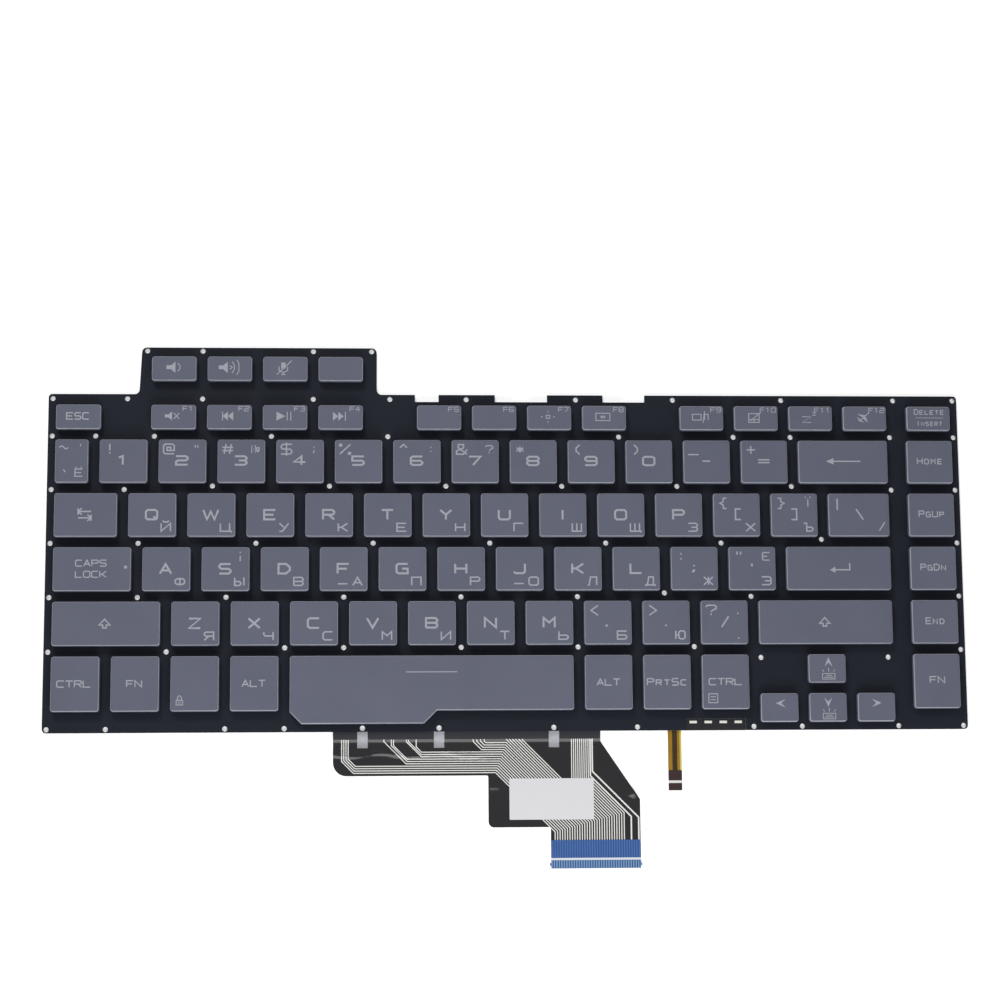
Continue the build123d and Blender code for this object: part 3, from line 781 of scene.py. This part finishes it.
def rivet_places():
    """Centres of the rivet holes: the tab, the back and front edges and the gaps, where some sit higher."""
    edges = [-148.7125, 148.7125]
    rows = [(69.775, [-118.2125, -100.0875, -63.8875, -44.7125]),
            (53.775, edges + [-124.5125, -100.0875, -63.8875, -38.71875, -13.55, 22.65, 54.8875, 91.0875, 128.7125]),
            (-54.125, edges + pad_places + [95.5375] + gap_places(front_units)),
            (-31.675, [82.475, 124.475])]
    for i, (level, raised) in enumerate(zip(level_units, raised_units)):
        y = number_back - i * row_pitch + half_gap_y
        rows += [(y, edges + gap_places(level)), (y + rivet_raise, gap_places(raised))]
    return np.array([[x, y] for y, xs in rows for x in xs])


hole_turn = np.arange(24) * 2 * pi / 24
hole = rivet_r * np.stack([np.cos(hole_turn), np.sin(hole_turn)], axis=-1)
rivet_holes = list(rivet_places()[:, None] + hole)
window_in, window_r = 1.4, 0.3


def key_window(name):
    """Opening of the light shield under a cap; the space bar's lies under its straight part."""
    low, high = boxes[name]
    front_y = high[1] - space_depths[0] if name == "space" else low[1]
    opening = rectangle(low[0] + window_in, front_y + window_in, high[0] - window_in, high[1] - window_in)
    return rounded(opening, window_r, 2)


key_windows = [key_window(name) for name in boxes if name != "space"] + [key_window("space")]
slot_out, slot_long, slot_short = 0.5, 0.85, 0.65


def hook_slots():
    """Rectangles in the membrane that slip over the plate's hooks."""
    slots = []
    for name in boxes:
        link, places = pair_places(name)
        for x, y, turned in places:
            for side in (-1, 1):
                middle = side * (link["reach"] + slot_out)
                dx, dy, half_x, half_y = ((-middle, 0, slot_short, slot_long) if turned
                                          else (0, middle, slot_long, slot_short))
                slots.append(rectangle(x + dx - half_x, y + dy - half_y, x + dx + half_x, y + dy + half_y))
    return slots


print(len(rivet_holes), "rivet holes,", len(key_windows), "windows,", len(hook_slots()), "slots")

# %% Sheet from a filled curve
def filled_sheet(name, lines, low, high):
    """Mesh of a sheet: closed lines in millimetres, the first its outline, filled and extruded from low to high."""
    curve = bpy.data.curves.new(name, "CURVE")
    curve.dimensions = "2D"
    curve.fill_mode = "BOTH"
    curve.extrude = (high - low) / 2
    for line in lines:
        spline = curve.splines.new("POLY")
        spline.points.add(len(line) - 1)
        spline.points.foreach_set("co", np.insert(np.insert(line, 2, 0, axis=1), 3, 1, axis=1).ravel())
        spline.use_cyclic_u = True
    holder = bpy.data.objects.new(name, curve)
    scene.collection.objects.link(holder)
    mesh = bpy.data.meshes.new_from_object(holder.evaluated_get(bpy.context.evaluated_depsgraph_get()))
    bpy.data.objects.remove(holder)
    bpy.data.curves.remove(curve)
    mesh.name = name
    work = bmesh.new()
    work.from_mesh(mesh)
    bmesh.ops.translate(work, verts=work.verts, vec=(0, 0, (low + high) / 2))
    bmesh.ops.remove_doubles(work, verts=work.verts, dist=1e-4)
    bmesh.ops.recalc_face_normals(work, faces=work.faces)
    work.to_mesh(mesh)
    work.free()
    return mesh


print("sheets are cut from filled curves")

# %% [markdown]
# ## Finishes of the sheets
# The top film is matt black with a faint mottling and dust-fine grain. The membrane and its ribbon are a dark
# glossy film, the plate is bright zinc-coated steel, the guide is milky clear plastic and the underside film is
# black with a satin gloss.

# %% Films, steel and guide
shield_film = mottled("shield_film", (120, 4), (22, 25, 34), (30, 33, 43), (0.5, 0.2), (1e-5, 0.3), 6000,
                      Specular_IOR_Level=0.12)
underside_black = mottled("underside_black", (150, 4), (22, 23, 26), (34, 35, 39), (0.32, 0.16), (1e-5, 0.3), 5000,
                          Specular_IOR_Level=0.3)
plate_steel = mottled("plate_steel", (2500, 3), (150, 152, 156), (186, 188, 191), (0.3, 0.2), (1e-5, 0.3),
                      Metallic=1.0)
guide_clear = mottled("guide_clear", (300,), (186, 190, 194), (212, 215, 218), (0.2, 0.15))

printed_front = -57.75
ribbon_film, ribbon_shader, ribbon_place = new_finish("ribbon_film", Specular_IOR_Level=0.3)
ribbon_cloud = speckle(ribbon_place, 90, 3)
printed_band = axis(ribbon_place, "Y") > printed_front
film_colour = blend(ribbon_cloud, shade(18, 18, 21), shade(27, 27, 31))
blend(printed_band, film_colour, shade(17, 19, 25)).to(ribbon_shader, "Base Color")
(0.08 + 0.08 * ribbon_cloud + 0.5 * printed_band).to(ribbon_shader, "Roughness")
relief(ribbon_place, speckle(ribbon_place, 160, 1), 1.5e-4, 0.15, ribbon_shader)
print("finishes:", [m.name for m in (shield_film, ribbon_film, plate_steel, guide_clear, underside_black)])

# %% The five sheets
sheets = [
    ("underside_film", [sheet_outline()] + rivet_holes, underside_black, "underside_film"),
    ("light_guide", [sheet_outline(guide_window)] + rivet_holes, guide_clear, "guide"),
    ("base_plate", [sheet_outline(lamp_window)] + rivet_holes, plate_steel, "plate"),
    ("switch_membrane", [sheet_outline(lamp_window)] + rivet_holes + hook_slots(), ribbon_film, "membrane"),
    ("light_shield", [sheet_outline(lamp_window)] + rivet_holes + key_windows, shield_film, "shield"),
]
sheet_z = [0.0, 0.15, 0.5, 1.0, 1.25, 1.35]
millimetre = Matrix.Scale(0.001, 4)
for (node, lines, finish, slot), low, high in zip(sheets, sheet_z, sheet_z[1:]):
    sheet_mesh = filled_sheet(f"{node}_sheet", lines, low, high)
    sheet_mesh.transform(millimetre)
    sheet = mesh_piece(sheet_mesh, finish, "chassis")
    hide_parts(node)
    print(node, len(sheet.data.polygons), "faces")

hooks = [placed(plate_hooks(pair_places(name)[0]), *place[:2], 0.0, place[2])
         for name in boxes for place in pair_places(name)[1]]
hook_piece = new_piece("plate_hooks", joined(hooks), plate_steel, "chassis")
print("plate hooks", len(hook_piece.data.polygons), "faces")

# %% [markdown]
# ## Ribbon and its traces
# The membrane sends a wide film out at the front, which bends down to the table and carries the printed silver
# traces to the plug end. The film is a filled curve again, cut into rows and columns so that its height can
# follow a formula. The traces are strips on the same height, so they stay on the film over its bend and crease.

# %% Ribbon
film_t = 0.25
ribbon_corners = [[-57.0625, front], [-57.0625, -69.425], [-7.0125, -69.425], [-7.0125, -86.075],
                  [13.0875, -86.075], [13.0875, -99.275], [42.0875, -99.275], [42.0875, -77.325],
                  [29.3875, -58.525], [29.3875, front]]
ribbon_radii = [0.02, 4.3, 0.6, 1.8, 0.3, 0.2, 0.2, 0.6, 0.6, 0.02]
ribbon_z, bend_r, half_bend = 1.0, 6, 2.398
crease_out, crease_high, crease_wide, crease_sway = 7.2, 0.4, 0.9, 0.6
buckle_places = [(-5.0, -72.6), (39.6, -75.0)]
buckle_high, buckle_long, buckle_wide = 0.7, 2.0, 1.6


def ribbon_height(x, y):
    """Height of the film's underside: level at the plate, down over an arc, back over another, then flat.

    A crease is added in front of the bend, a bell curve across a line that wanders in waves along x and fades
    to the right, and two low buckles, round bell curves.
    """
    run = np.clip(front - y, 0, 2 * half_bend)
    first = ribbon_z - (bend_r - np.sqrt(bend_r ** 2 - np.minimum(run, half_bend) ** 2))
    second = bend_r - np.sqrt(bend_r ** 2 - np.minimum(2 * half_bend - run, half_bend) ** 2)
    line = front - crease_out + crease_sway * np.sin(0.322 * (x + 27))
    fading = 1 / (1 + np.exp((x + 6) / 2))
    crease = crease_high * fading * np.exp(-((y - line) / crease_wide) ** 2) * (1 + 0.25 * np.sin(x * 0.3))
    buckles = sum(buckle_high * np.exp(-((x - bx) / buckle_long) ** 2 - ((y - by) / buckle_wide) ** 2)
                  for bx, by in buckle_places)
    return np.where(run < half_bend, first, second) + crease + buckles


ribbon_mesh = filled_sheet("ribbon", [rounded(ribbon_corners, ribbon_radii, 6)], 0, film_t)
work = bmesh.new()
work.from_mesh(ribbon_mesh)
fine_rows = np.arange(front - 0.3, front - 12, -0.3)
coarse_rows = np.arange(front - 12.5, -80, -0.5)
cuts = [((0, y, 0), (0, 1, 0)) for y in np.append(fine_rows, coarse_rows)]
cuts += [((x, 0, 0), (1, 0, 0)) for x in np.arange(-56, 42, 2.0)]
for point, normal in cuts:
    geometry = work.verts[:] + work.edges[:] + work.faces[:]
    bmesh.ops.bisect_plane(work, geom=geometry, plane_co=point, plane_no=normal, dist=1e-4)
work.to_mesh(ribbon_mesh)
work.free()
points = np.empty(3 * len(ribbon_mesh.vertices), np.float32)
ribbon_mesh.vertices.foreach_get("co", points)
points = points.reshape(-1, 3).astype(float)
points[:, 2] += ribbon_height(points[:, 0], points[:, 1])
ribbon_mesh.vertices.foreach_set("co", points.ravel())
ribbon_mesh.transform(millimetre)
ribbon = mesh_piece(ribbon_mesh, ribbon_film, "chassis", 50)
print("ribbon", len(ribbon_mesh.polygons), "faces")

# %% Traces
trace_silver = mottled("trace_silver", (4000,), (216, 216, 213), (242, 242, 238), (0.4, 0.2), (1e-5, 0.3))
signal_lines, wide_necks, wide_bends = 29, (186.4, 188.8), (122.6, 122.9)
trace_top, trace_end = 97.6, 130.2
trace_starts = (93.0, 93.7, 94.4, 95.1, 106.6, 109.0, 109.7, 113.8, 114.5, 117.0, 135.4, 136.6, 137.8, 139.0)
trace_drops = {0: 6.9, 1: 6.65, 2: 6.4, 3: 6.15, 5: 1.9, 6: 1.9, 9: 2.3}
usual_drop = 0.6
trace_w, wide_trace_w, trace_t, trace_proud = 0.3, 0.46, 0.05, 0.03


def trace_path(line):
    """Corners of one trace: from the plate, by runs at 45 degrees and along the edge, to its place in the neck.

    They are measured to the right and forwards from the back left corner of the number row.
    """
    if line < signal_lines:
        neck, bend = 161.7 + 0.8 * line, 127.4 - 0.215 * line
    else:
        neck, bend = wide_necks[line - signal_lines], wide_bends[line - signal_lines]
    level = 108.3 - 0.74 * line
    if line < len(trace_starts):
        start = trace_starts[line]
        turn = trace_top + trace_drops.get(line, usual_drop)
        corners = [(start, trace_top), (start, turn), (start + level - turn, level), (neck - bend + level, level)]
    elif line < 20:
        corners = [(neck - bend + trace_top, trace_top)]
    else:
        start = 167.3 + 0.67 * (line - 20)
        corners = [(start, trace_top), (start, bend - neck + start)]
    corners += [(neck, bend), (neck, trace_end)]
    return np.array(corners) * [1, -1] + [block_left, number_back]


def resampled(path, step):
    """The path's corners and points between them no further apart than a step."""
    lengths = np.linalg.norm(np.diff(path, axis=0), axis=1)
    along = np.concatenate([[0], np.cumsum(lengths)])
    count = np.ceil(lengths / step).astype(int)
    shares = np.concatenate([np.arange(n) / n for n in count])
    places = np.append(np.repeat(along[:-1], count) + shares * np.repeat(lengths, count), along[-1])
    return np.stack([np.interp(places, along, path[:, 0]), np.interp(places, along, path[:, 1])], axis=-1)


def film_top(x, y):
    return ribbon_height(x, y) + film_t + trace_proud


traces = [strip(resampled(trace_path(line), 0.6), trace_w if line < signal_lines else wide_trace_w, film_top, trace_t)
          for line in range(signal_lines + len(wide_necks))]
trace_piece = new_piece("ribbon_traces", joined(traces), trace_silver, "chassis")
print("traces", len(trace_piece.data.polygons), "faces")

# %% [markdown]
# ## Pieces that keep their CAD shape
# The stiffener with its contacts, the label, the grounding pads and the amber backlight flex are flat pieces
# whose CAD shape is right. They only need finishes. What changes along them (the contact comb, the bands at the
# flex's plug end, the weave) is drawn with masks on Object coordinates, in millimetres.

# %% Stiffener, label, pads and flex
def repaint(node, finish):
    """Gives a CAD node a new finish in each of its material slots."""
    mesh = frame["nodes"][node].data
    mesh.materials.clear()
    mesh.materials.append(finish)


contact_pitch, contact_back, contact_front = 0.8, -96.62, -99.2
line_back = -95.95
stiffener_blue, blue_shader, blue_place = new_finish("stiffener_blue", Specular_IOR_Level=0.25)
blue_x, blue_y = axis(blue_place, "X"), axis(blue_place, "Y")
blue_cloud = speckle(blue_place, 200, 3)
trace_stripe = ((blue_x - 14.24) % contact_pitch) < 0.36
blue_film = blend(0.5 * trace_stripe + 0.2 * blue_cloud, shade(34, 68, 130), shade(86, 124, 180))
contact = ((blue_x - 13.9) % contact_pitch) < 0.42
comb = blend(contact, shade(40, 72, 122), shade(118, 152, 190))
blue_comb = blend(band(blue_y, contact_front, contact_back), blue_film, comb)
blend(band(blue_y, contact_back, line_back), blue_comb, shade(216, 220, 226)).to(blue_shader, "Base Color")
(0.25 + 0.2 * blue_cloud).to(blue_shader, "Roughness")
relief(blue_place, contact * band(blue_y, contact_front, contact_back), 3e-5, 0.5, blue_shader)
repaint("ribbon_stiffener", stiffener_blue)

label_paper = mottled("label_paper", (2200, 3), (208, 208, 212), (221, 221, 224), (0.5, 0.2), (2e-5, 0.3))
repaint("ribbon_label", label_paper)

weave_pitch = 0.5
pad_weave, pad_shader, pad_place = new_finish("pad_weave", Metallic=0.2)
weave_x = (axis(pad_place, "X") % weave_pitch) < weave_pitch / 2
weave_y = (axis(pad_place, "Y") % weave_pitch) < weave_pitch / 2
weave = weave_x + weave_y - 2 * weave_x * weave_y
pad_mottle = speckle(pad_place, 1600, 3)
blend(0.3 * weave + 0.7 * pad_mottle, shade(118, 119, 126), shade(172, 173, 179)).to(pad_shader, "Base Color")
(0.35 + 0.25 * weave).to(pad_shader, "Roughness")
relief(pad_place, weave, 4e-5, 0.6, pad_shader)
repaint("ground_pads", pad_weave)

flex_amber, flex_shader, flex_place = new_finish("flex_amber", Specular_IOR_Level=0.25)
flex_x, flex_y, flex_z = (axis(flex_place, letter) for letter in "XYZ")
flex_cloud = speckle(flex_place, 250, 3)
flex_colour = blend(flex_cloud, shade(128, 96, 24), shade(164, 124, 24))
tail = flex_y < -55.3
for mask, colour in [
    (band(flex_x, 52.85, 54.45) * tail, (48, 36, 12)), ((flex_x > 55.3) * tail, (206, 190, 96)),
    (flex_y < -68.1, (48, 32, 33)), (band(flex_y, -72.2, -71.4), (222, 222, 220)),
    (flex_y > -55.25, (24, 24, 28)), ((flex_z > 0.28) * (flex_y > -55), (232, 232, 222)),
]:
    flex_colour = blend(mask, flex_colour, shade(*colour))
flex_colour.to(flex_shader, "Base Color")
(0.28 + 0.2 * flex_cloud).to(flex_shader, "Roughness")
relief(flex_place, flex_cloud, 3e-5, 0.3, flex_shader)
repaint("backlight_flex", flex_amber)
print("repainted the stiffener, the label, the pads and the flex")

# %% [markdown]
# ## Print on the caps
# The print is wide, square-cut lettering. A text object would bring a font of its own and thousands of faces, so
# each sign is a few strokes on a grid of six by six, written as pairs of digits, and every stroke becomes a thin
# strip on the cap's dished top. A sign may also have filled corners, marked with a star. The character / stands
# for -1, one step below or left of the grid.

# %% Strokes of the signs
signs = {
    "A": "00 36 60|12 52", "B": "00 06 56 65 64 53 03|53 62 61 50 00", "C": "66 16 05 01 10 60",
    "D": "00 06 46 64 62 40 00", "E": "66 06 00 60|03 53", "F": "00 06 66|03 53", "G": "66 16 05 01 10 60 63 33",
    "H": "00 06|60 66|03 63", "I": "30 36", "J": "66 61 50 10 01", "K": "00 06|66 23 60|03 23", "L": "06 00 60",
    "M": "00 06 33 66 60", "N": "00 06 60 66", "O": "10 01 05 16 56 65 61 50 10", "P": "00 06 56 65 64 53 03",
    "Q": "10 01 05 16 56 65 61 50 10|42 60", "R": "00 06 56 65 64 53 03|33 60", "S": "66 16 05 04 13 53 62 61 50 00",
    "T": "06 66|36 30", "U": "06 01 10 50 61 66", "V": "06 30 66", "W": "/6 10 35 50 76", "X": "00 66|06 60",
    "Y": "06 33 66|33 30", "Z": "06 66 00 60",
    "1": "15 36 30", "2": "06 56 65 64 53 13 02 00 60",
    "3": "06 56 65 64 53 23|53 62 61 50 00", "4": "40 46 02 62", "5": "66 06 03 53 62 61 50 00",
    "6": "66 16 05 01 10 50 61 62 53 03", "7": "06 66 20", "8": "13 04 05 16 56 65 64 53 13 02 01 10 50 61 62 53",
    "9": "00 50 61 65 56 16 05 04 13 63",
    "Й": "06 00 66 60|18 27 47 58", "Ц": "06 00 70 7/|60 66", "У": "06 33|66 20 00", "Г": "00 06 66",
    "Ш": "06 00 60 66|30 36", "Щ": "06 00 70 7/|30 36|60 66", "Ъ": "06 26 20 50 61 62 53 23",
    "Ї": "30 36|17 18|57 58", "Ф": "30 36|15 04 02 11 51 62 64 55 15", "Ы": "06 00 30 41 42 33 03|60 66",
    "І": "30 34|36 37", "П": "00 06 66 60", "Л": "00 10 26 66 60", "Д": "0/ 00 60 6/|10 26 56 50",
    "Ж": "00 33 06|60 33 66|30 36", "Э": "06 56 65 61 50 00|23 63", "Є": "66 16 05 01 10 60|03 43",
    "Я": "60 66 16 05 04 13 63|33 00", "Ч": "06 04 13 63|66 60", "И": "06 00 66 60", "Ь": "06 00 50 61 62 53 03",
    "Б": "66 06 00 50 61 62 53 03", "Ю": "00 06|03 23|30 21 25 36 56 65 61 50 30",
    "Ё": "66 06 00 60|03 53|17 18|57 58",
    "!": "32 36|30 31", "@": "60 10 01 05 16 56 65 62 42 44 24 22 42", "#": "10 26|40 56|02 62|04 64",
    "№": "00 06 30 36|42 62 64 44 42|41 61", "$": "66 16 05 04 13 53 62 61 50 00|37 3/",
    "%": "00 66|05 06 16 15 05|50 51 61 60 50", "^": "14 36 54", "&": "60 14 16 46 44 02 00 40 63",
    "*": "31 35|12 54|14 52", "(": "46 24 22 40", ")": "26 44 42 20", "_": "00 60", "+": "03 63|30 36", "-": "13 53",
    "=": "02 62|04 64", "{": "56 36 34 13 32 30 50", "}": "16 36 34 53 32 30 10", "[": "56 26 20 50",
    "]": "16 46 40 10", "|": "30 36", "\\": "16 50", "/": "10 56", ":": "34 35|31 32", ";": "34 35|32 31 20",
    "'": "34 36", '"': "24 26|44 46", ",": "31 20", ".": "30 31", "<": "56 13 50", ">": "16 53 10",
    "?": "05 16 56 65 64 43 32|30 31", "~": "03 14 24 42 52 63", "`": "25 43",
    "tab": "04 08|06 76|28 06 24|70 74|02 72|54 72 50", "shift": "20 22 02 36 62 42 40 20",
    "enter": "86 82 02|*02 24 20", "backspace": "93 13|*03 25 21",
    "lock": "00 03 53 50 00|13 15 26 36 45 43|22 21|32 31", "menu": "00 06 56 50 00|14 44|12 42",
    "up_sign": "*00 33 37|*33 60 37", "down_sign": "*07 34 30|*34 67 30", "left_sign": "*70 43 03|*43 76 03",
    "right_sign": "*00 33 73|*33 06 73", "key_light": "00 03 83 80 00|11 71|22 62|14 05|44 46|74 85",
    "volume_down": "*02 04 24 46 40 22|55 64 62 51",
    "volume_up": "*02 04 24 46 40 22|54 63 52|66 74 72 60|87 95 91 8/",
    "mute": "*02 04 24 46 40 22|51 85|55 81", "microphone_off": "*23 26 46 43|14 12 31 52 54|31 30|20 40|00 77",
    "previous": "*04 31 37|*34 61 67|01 07", "play_pause": "*01 07 54|61 67|81 87",
    "next": "*01 07 34|*31 37 64|71 77", "sun": "22 24 44 42 22|36 37|30 3/|03 /3|63 73",
    "frame": "01 06 86 81 01|33 34 54 53 33", "display": "02 06 56 52 02|60 78|72 76 96 92",
    "touchpad_off": "00 06 66 60 00|02 62|32 30|11 77", "sleep": "04 54 00 50|67 87 65 85",
    "aeroplane": "11 77|*06 55 43|*60 54 33|*04 22 11|*40 22 11", "lamp_dot": "*22 32 33 23", "line": "00 60",
}
for twin, sign in zip("КЕНЗХВАРОСМТ0", "KEH3XBAPOCMTO"):
    signs[twin] = signs[sign]
print(len(signs), "signs")

# %% Which signs go where
corner = (0.22, 0.23, 3.2, 1.08, 0.45)
upper = (0.79, 0.23, 2.5, 0.95, 0.36)
lower = (0.785, 0.785, 2.6, 1.15, 0.46)
middle = (0.49, 0.49, 2.8, 1.35, 0.64)
tall = (0.51, 0.49, 3.5, 1.0, 0.5)
thin = (0.49, 0.49, 2.8, 1.35, 0.46)
brace = (0.22, 0.24, 3.4, 0.95, 0.42)
letter = (0.49, 0.5, 3.1, 1.17, 0.66)
word = (0.49, 0.5, 2.0, 1.05, 0.38)
side_word = (0.5, 0.48, 1.95, 0.86, 0.36)
arrow = (0.49, 0.5, 2.8, 1.25, 0.42)
volume = (0.48, 0.46, 3.8, 1.15, 0.3)
light = (3.6, 0.85, 0.26)
legends = {latin.lower(): [(latin, *letter), (second, *lower)] for latin, second in
           zip("QWERTYUIOPASDFGHJKLZXCVBNM", "ЙЦУКЕНГШЩЗФЫВАПРОЛДЯЧСМИТЬ")}
legends["s"].append(("І", 0.8, 0.24, 2.6, 0.9, 0.42))
for name in "fj":
    legends[name].append((["line"], 0.48, 0.84, 2.0, 1.55, 0.45))
for digit, first, second in zip("1234567890", "!@#$%^&*()", ["", '"', "№", ";", "", ":", "?", "", "", ""]):
    legends[digit] = [(digit, *middle), (first, *corner)] + ([(second, *upper)] if second else [])
for name, text, place in [
    ("left_function", "FN", word), ("left_alt", "ALT", word), ("right_alt", "ALT", word), ("home", "Home", side_word),
    ("page_up", "PgUp", side_word), ("page_down", "PgDn", side_word), ("end", "End", side_word),
    ("left_shift", ["shift"], arrow), ("right_shift", ["shift"], arrow), ("media_1", ["volume_down"], volume),
    ("media_2", ["volume_up"], volume),
]:
    legends[name] = [(text, *place)]
legends.update({
    "minus": [("-", *thin), ("_", *corner)], "equals": [("=", *thin), ("+", 0.22, 0.23, 2.6, 1.08, 0.42)],
    "left_bracket": [("{", *brace), ("[", *tall), ("Х", *lower)],
    "right_bracket": [("}", *brace), ("]", *tall), ("Ї", *upper), ("Ъ", *lower)],
    "backslash": [("|", 0.15, 0.26, 3.8, 1.0, 0.5), ("\\", *tall), ("/", 0.87, 0.765, 2.8, 1.0, 0.42)],
    "semicolon": [(":", *corner), (";", *middle), ("Ж", *lower)],
    "quote": [('"', *corner), ("'", *middle), ("Є", *upper), ("Э", *lower)],
    "comma": [("<", *corner), (",", *middle), ("Б", *lower)],
    "period": [(">", *corner), (".", *middle), ("Ю", *lower)],
    "slash": [("?", *corner), ("/", *tall), (",", *upper), (".", *lower)],
    "grave": [("~", 0.27, 0.2, 2.6, 1.1, 0.36), ("'", 0.76, 0.2, 2.2, 1.0, 0.36), ("`", 0.3, 0.76, 2.4, 1.0, 0.36),
              ("Ё", 0.72, 0.77, 2.4, 1.0, 0.36)],
    "tab": [(["tab"], 0.49, 0.5, 3.1, 1.15, 0.46)],
    "caps_lock": [("CAPS", 0.49, 0.37, 1.95, 1.05, 0.36), ("LOCK", 0.49, 0.62, 1.95, 1.05, 0.36),
                  (["lamp_dot"], 0.93, 0.46, 5.4, 1.0, 0.3)],
    "enter": [(["enter"], 0.51, 0.5, 3.3, 1.45, 0.45)], "backspace": [(["backspace"], 0.5, 0.49, 3.2, 2.4, 0.42)],
    "left_control": [("CTRL", 0.48, 0.5, 2.0, 1.12, 0.38)], "system": [(["lock"], 0.2, 0.8, 2.9, 0.85, 0.3)],
    "right_control": [("CTRL", 0.49, 0.5, 2.0, 1.12, 0.38), (["menu"], 0.23, 0.8, 2.9, 1.2, 0.3)],
    "print": [("PrtSc", 0.49, 0.5, 2.1, 1.0, 0.38)], "right_function": [("FN", 0.5, 0.48, 2.0, 1.05, 0.38)],
    "escape": [("ESC", 0.49, 0.48, 2.1, 0.95, 0.4)],
    "delete": [("Delete", 0.52, 0.24, 1.6, 0.8, 0.3), (["line"], 0.52, 0.48, 1.5, 6.2, 0.2),
               ("Insert", 0.52, 0.7, 1.5, 0.72, 0.28)],
    "up": [(["up_sign"], 0.53, 0.28, 2.6, 1.0, 0.6), (["key_light"], 0.53, 0.68, *light)],
    "down": [(["down_sign"], 0.5, 0.33, 2.6, 1.0, 0.6), (["key_light"], 0.52, 0.71, *light)],
    "left": [(["left_sign"], 0.52, 0.36, 2.7, 1.0, 0.6)], "right": [(["right_sign"], 0.5, 0.36, 2.7, 1.0, 0.6)],
    "media_3": [(["microphone_off"], 0.48, 0.46, 4.0, 1.05, 0.32)],
    "space": [(["line"], 0.498, 0.305, 2.4, 6.9, 0.3)],
})
function_icons = ["mute", "previous", "play_pause", "next", "", "", "sun", "frame", "display", "touchpad_off",
                  "sleep", "aeroplane"]
for number, icon in enumerate(function_icons, 1):
    label = (f"F{number}", 0.82 if number < 10 else 0.77, 0.18, 1.45, 1.0, 0.24)
    legends[f"f{number}"] = [label] + ([([icon], 0.47, 0.47, 2.9, 1.2, 0.3)] if icon else [])
print(len(legends), "caps have print")

# %% From signs to strips on the caps
grid = 6
small_share, letter_gap = 0.8, 0.28
print_t, print_lift, print_step = 0.03, 0.01, 0.001


def sign_shapes(text, height, aspect):
    """Strokes of a text or icon around its middle, in millimetres, each as (filled, path).

    A letter's cell is as wide as its height times the aspect; small letters are drawn at 0.8 of the height on
    the same foot line. An icon is put by the middle of its own box.
    """
    cell = height * aspect
    pitch = cell + letter_gap * height
    shapes = []
    for place, sign in enumerate(text):
        small = small_share if sign.islower() and len(sign) == 1 else 1.0
        drawn = signs[sign.upper() if small < 1 else sign]
        for stroke in drawn.split("|"):
            pairs = stroke.replace(" ", "").replace("*", "").encode()
            digits = np.frombuffer(pairs, np.uint8).reshape(-1, 2) - float(ord("0"))
            path = digits * [cell / grid, height / grid] * [small, small]
            path = path + [pitch * place + cell * (1 - small) / 2, 0]
            shapes.append((stroke.startswith("*"), path))
    everything = np.concatenate([path for _, path in shapes])
    box_middle = (everything.min(axis=0) + everything.max(axis=0)) / 2
    line_middle = np.array([(pitch * (len(text) - 1) + cell) / 2, height / 2])
    shift = box_middle if isinstance(text, list) else line_middle
    return [(filled, path - shift) for filled, path in shapes]


def filled_sign(path, height, thickness):
    """Thin slab with straight sides: its outline as two rings, closed to the middle above and below."""
    path = anticlockwise(path)
    centre = path.mean(axis=0)
    top = height(path[:, 0], path[:, 1])
    rings = np.stack([np.insert(path, 2, top - thickness, axis=1), np.insert(path, 2, top, axis=1)])
    middle_top = float(height(centre[:1], centre[1:])[0])
    return ring_shell(rings, [*centre, middle_top - thickness], [*centre, middle_top])


def cap_print(name):
    """All the strips of one cap's print; each lies a micrometre above the one before, so that none coincide."""
    low, high = boxes[name]
    x, y = cap_middle(name)
    half_w = (high[0] - low[0]) / 2
    half_d = cap_depth(name) / 2
    shapes = []
    for text, across, down, height, aspect, line in legends[name]:
        place = np.array([(2 * across - 1) * half_w, (1 - 2 * down) * half_d])
        for filled, path in sign_shapes(text, height, aspect):
            lift = print_lift + print_step * len(shapes)

            def top(px, py):
                share = np.maximum(np.abs(px) / (half_w - edge_in), np.abs(py) / (half_d - edge_in))
                return cap_height - dish_depth(name) * (1 - np.minimum(share, 1) ** 2) + lift

            made = filled_sign(path + place, top, print_t) if filled else strip(path + place, line, top, print_t)
            shapes.append(placed(made, x, y, cap_z))
    return joined(shapes)


for body in moving:
    if body[4:] in legends:
        new_piece(f"print_{body[4:]}", cap_print(body[4:]), print_ink, body)
for node, names in standing.items():
    printed = [cap_print(name) for name in names if name in legends]
    piece = new_piece(f"print_{node}", joined(printed), print_ink, "chassis")
    print(piece.name, len(piece.data.polygons), "faces")
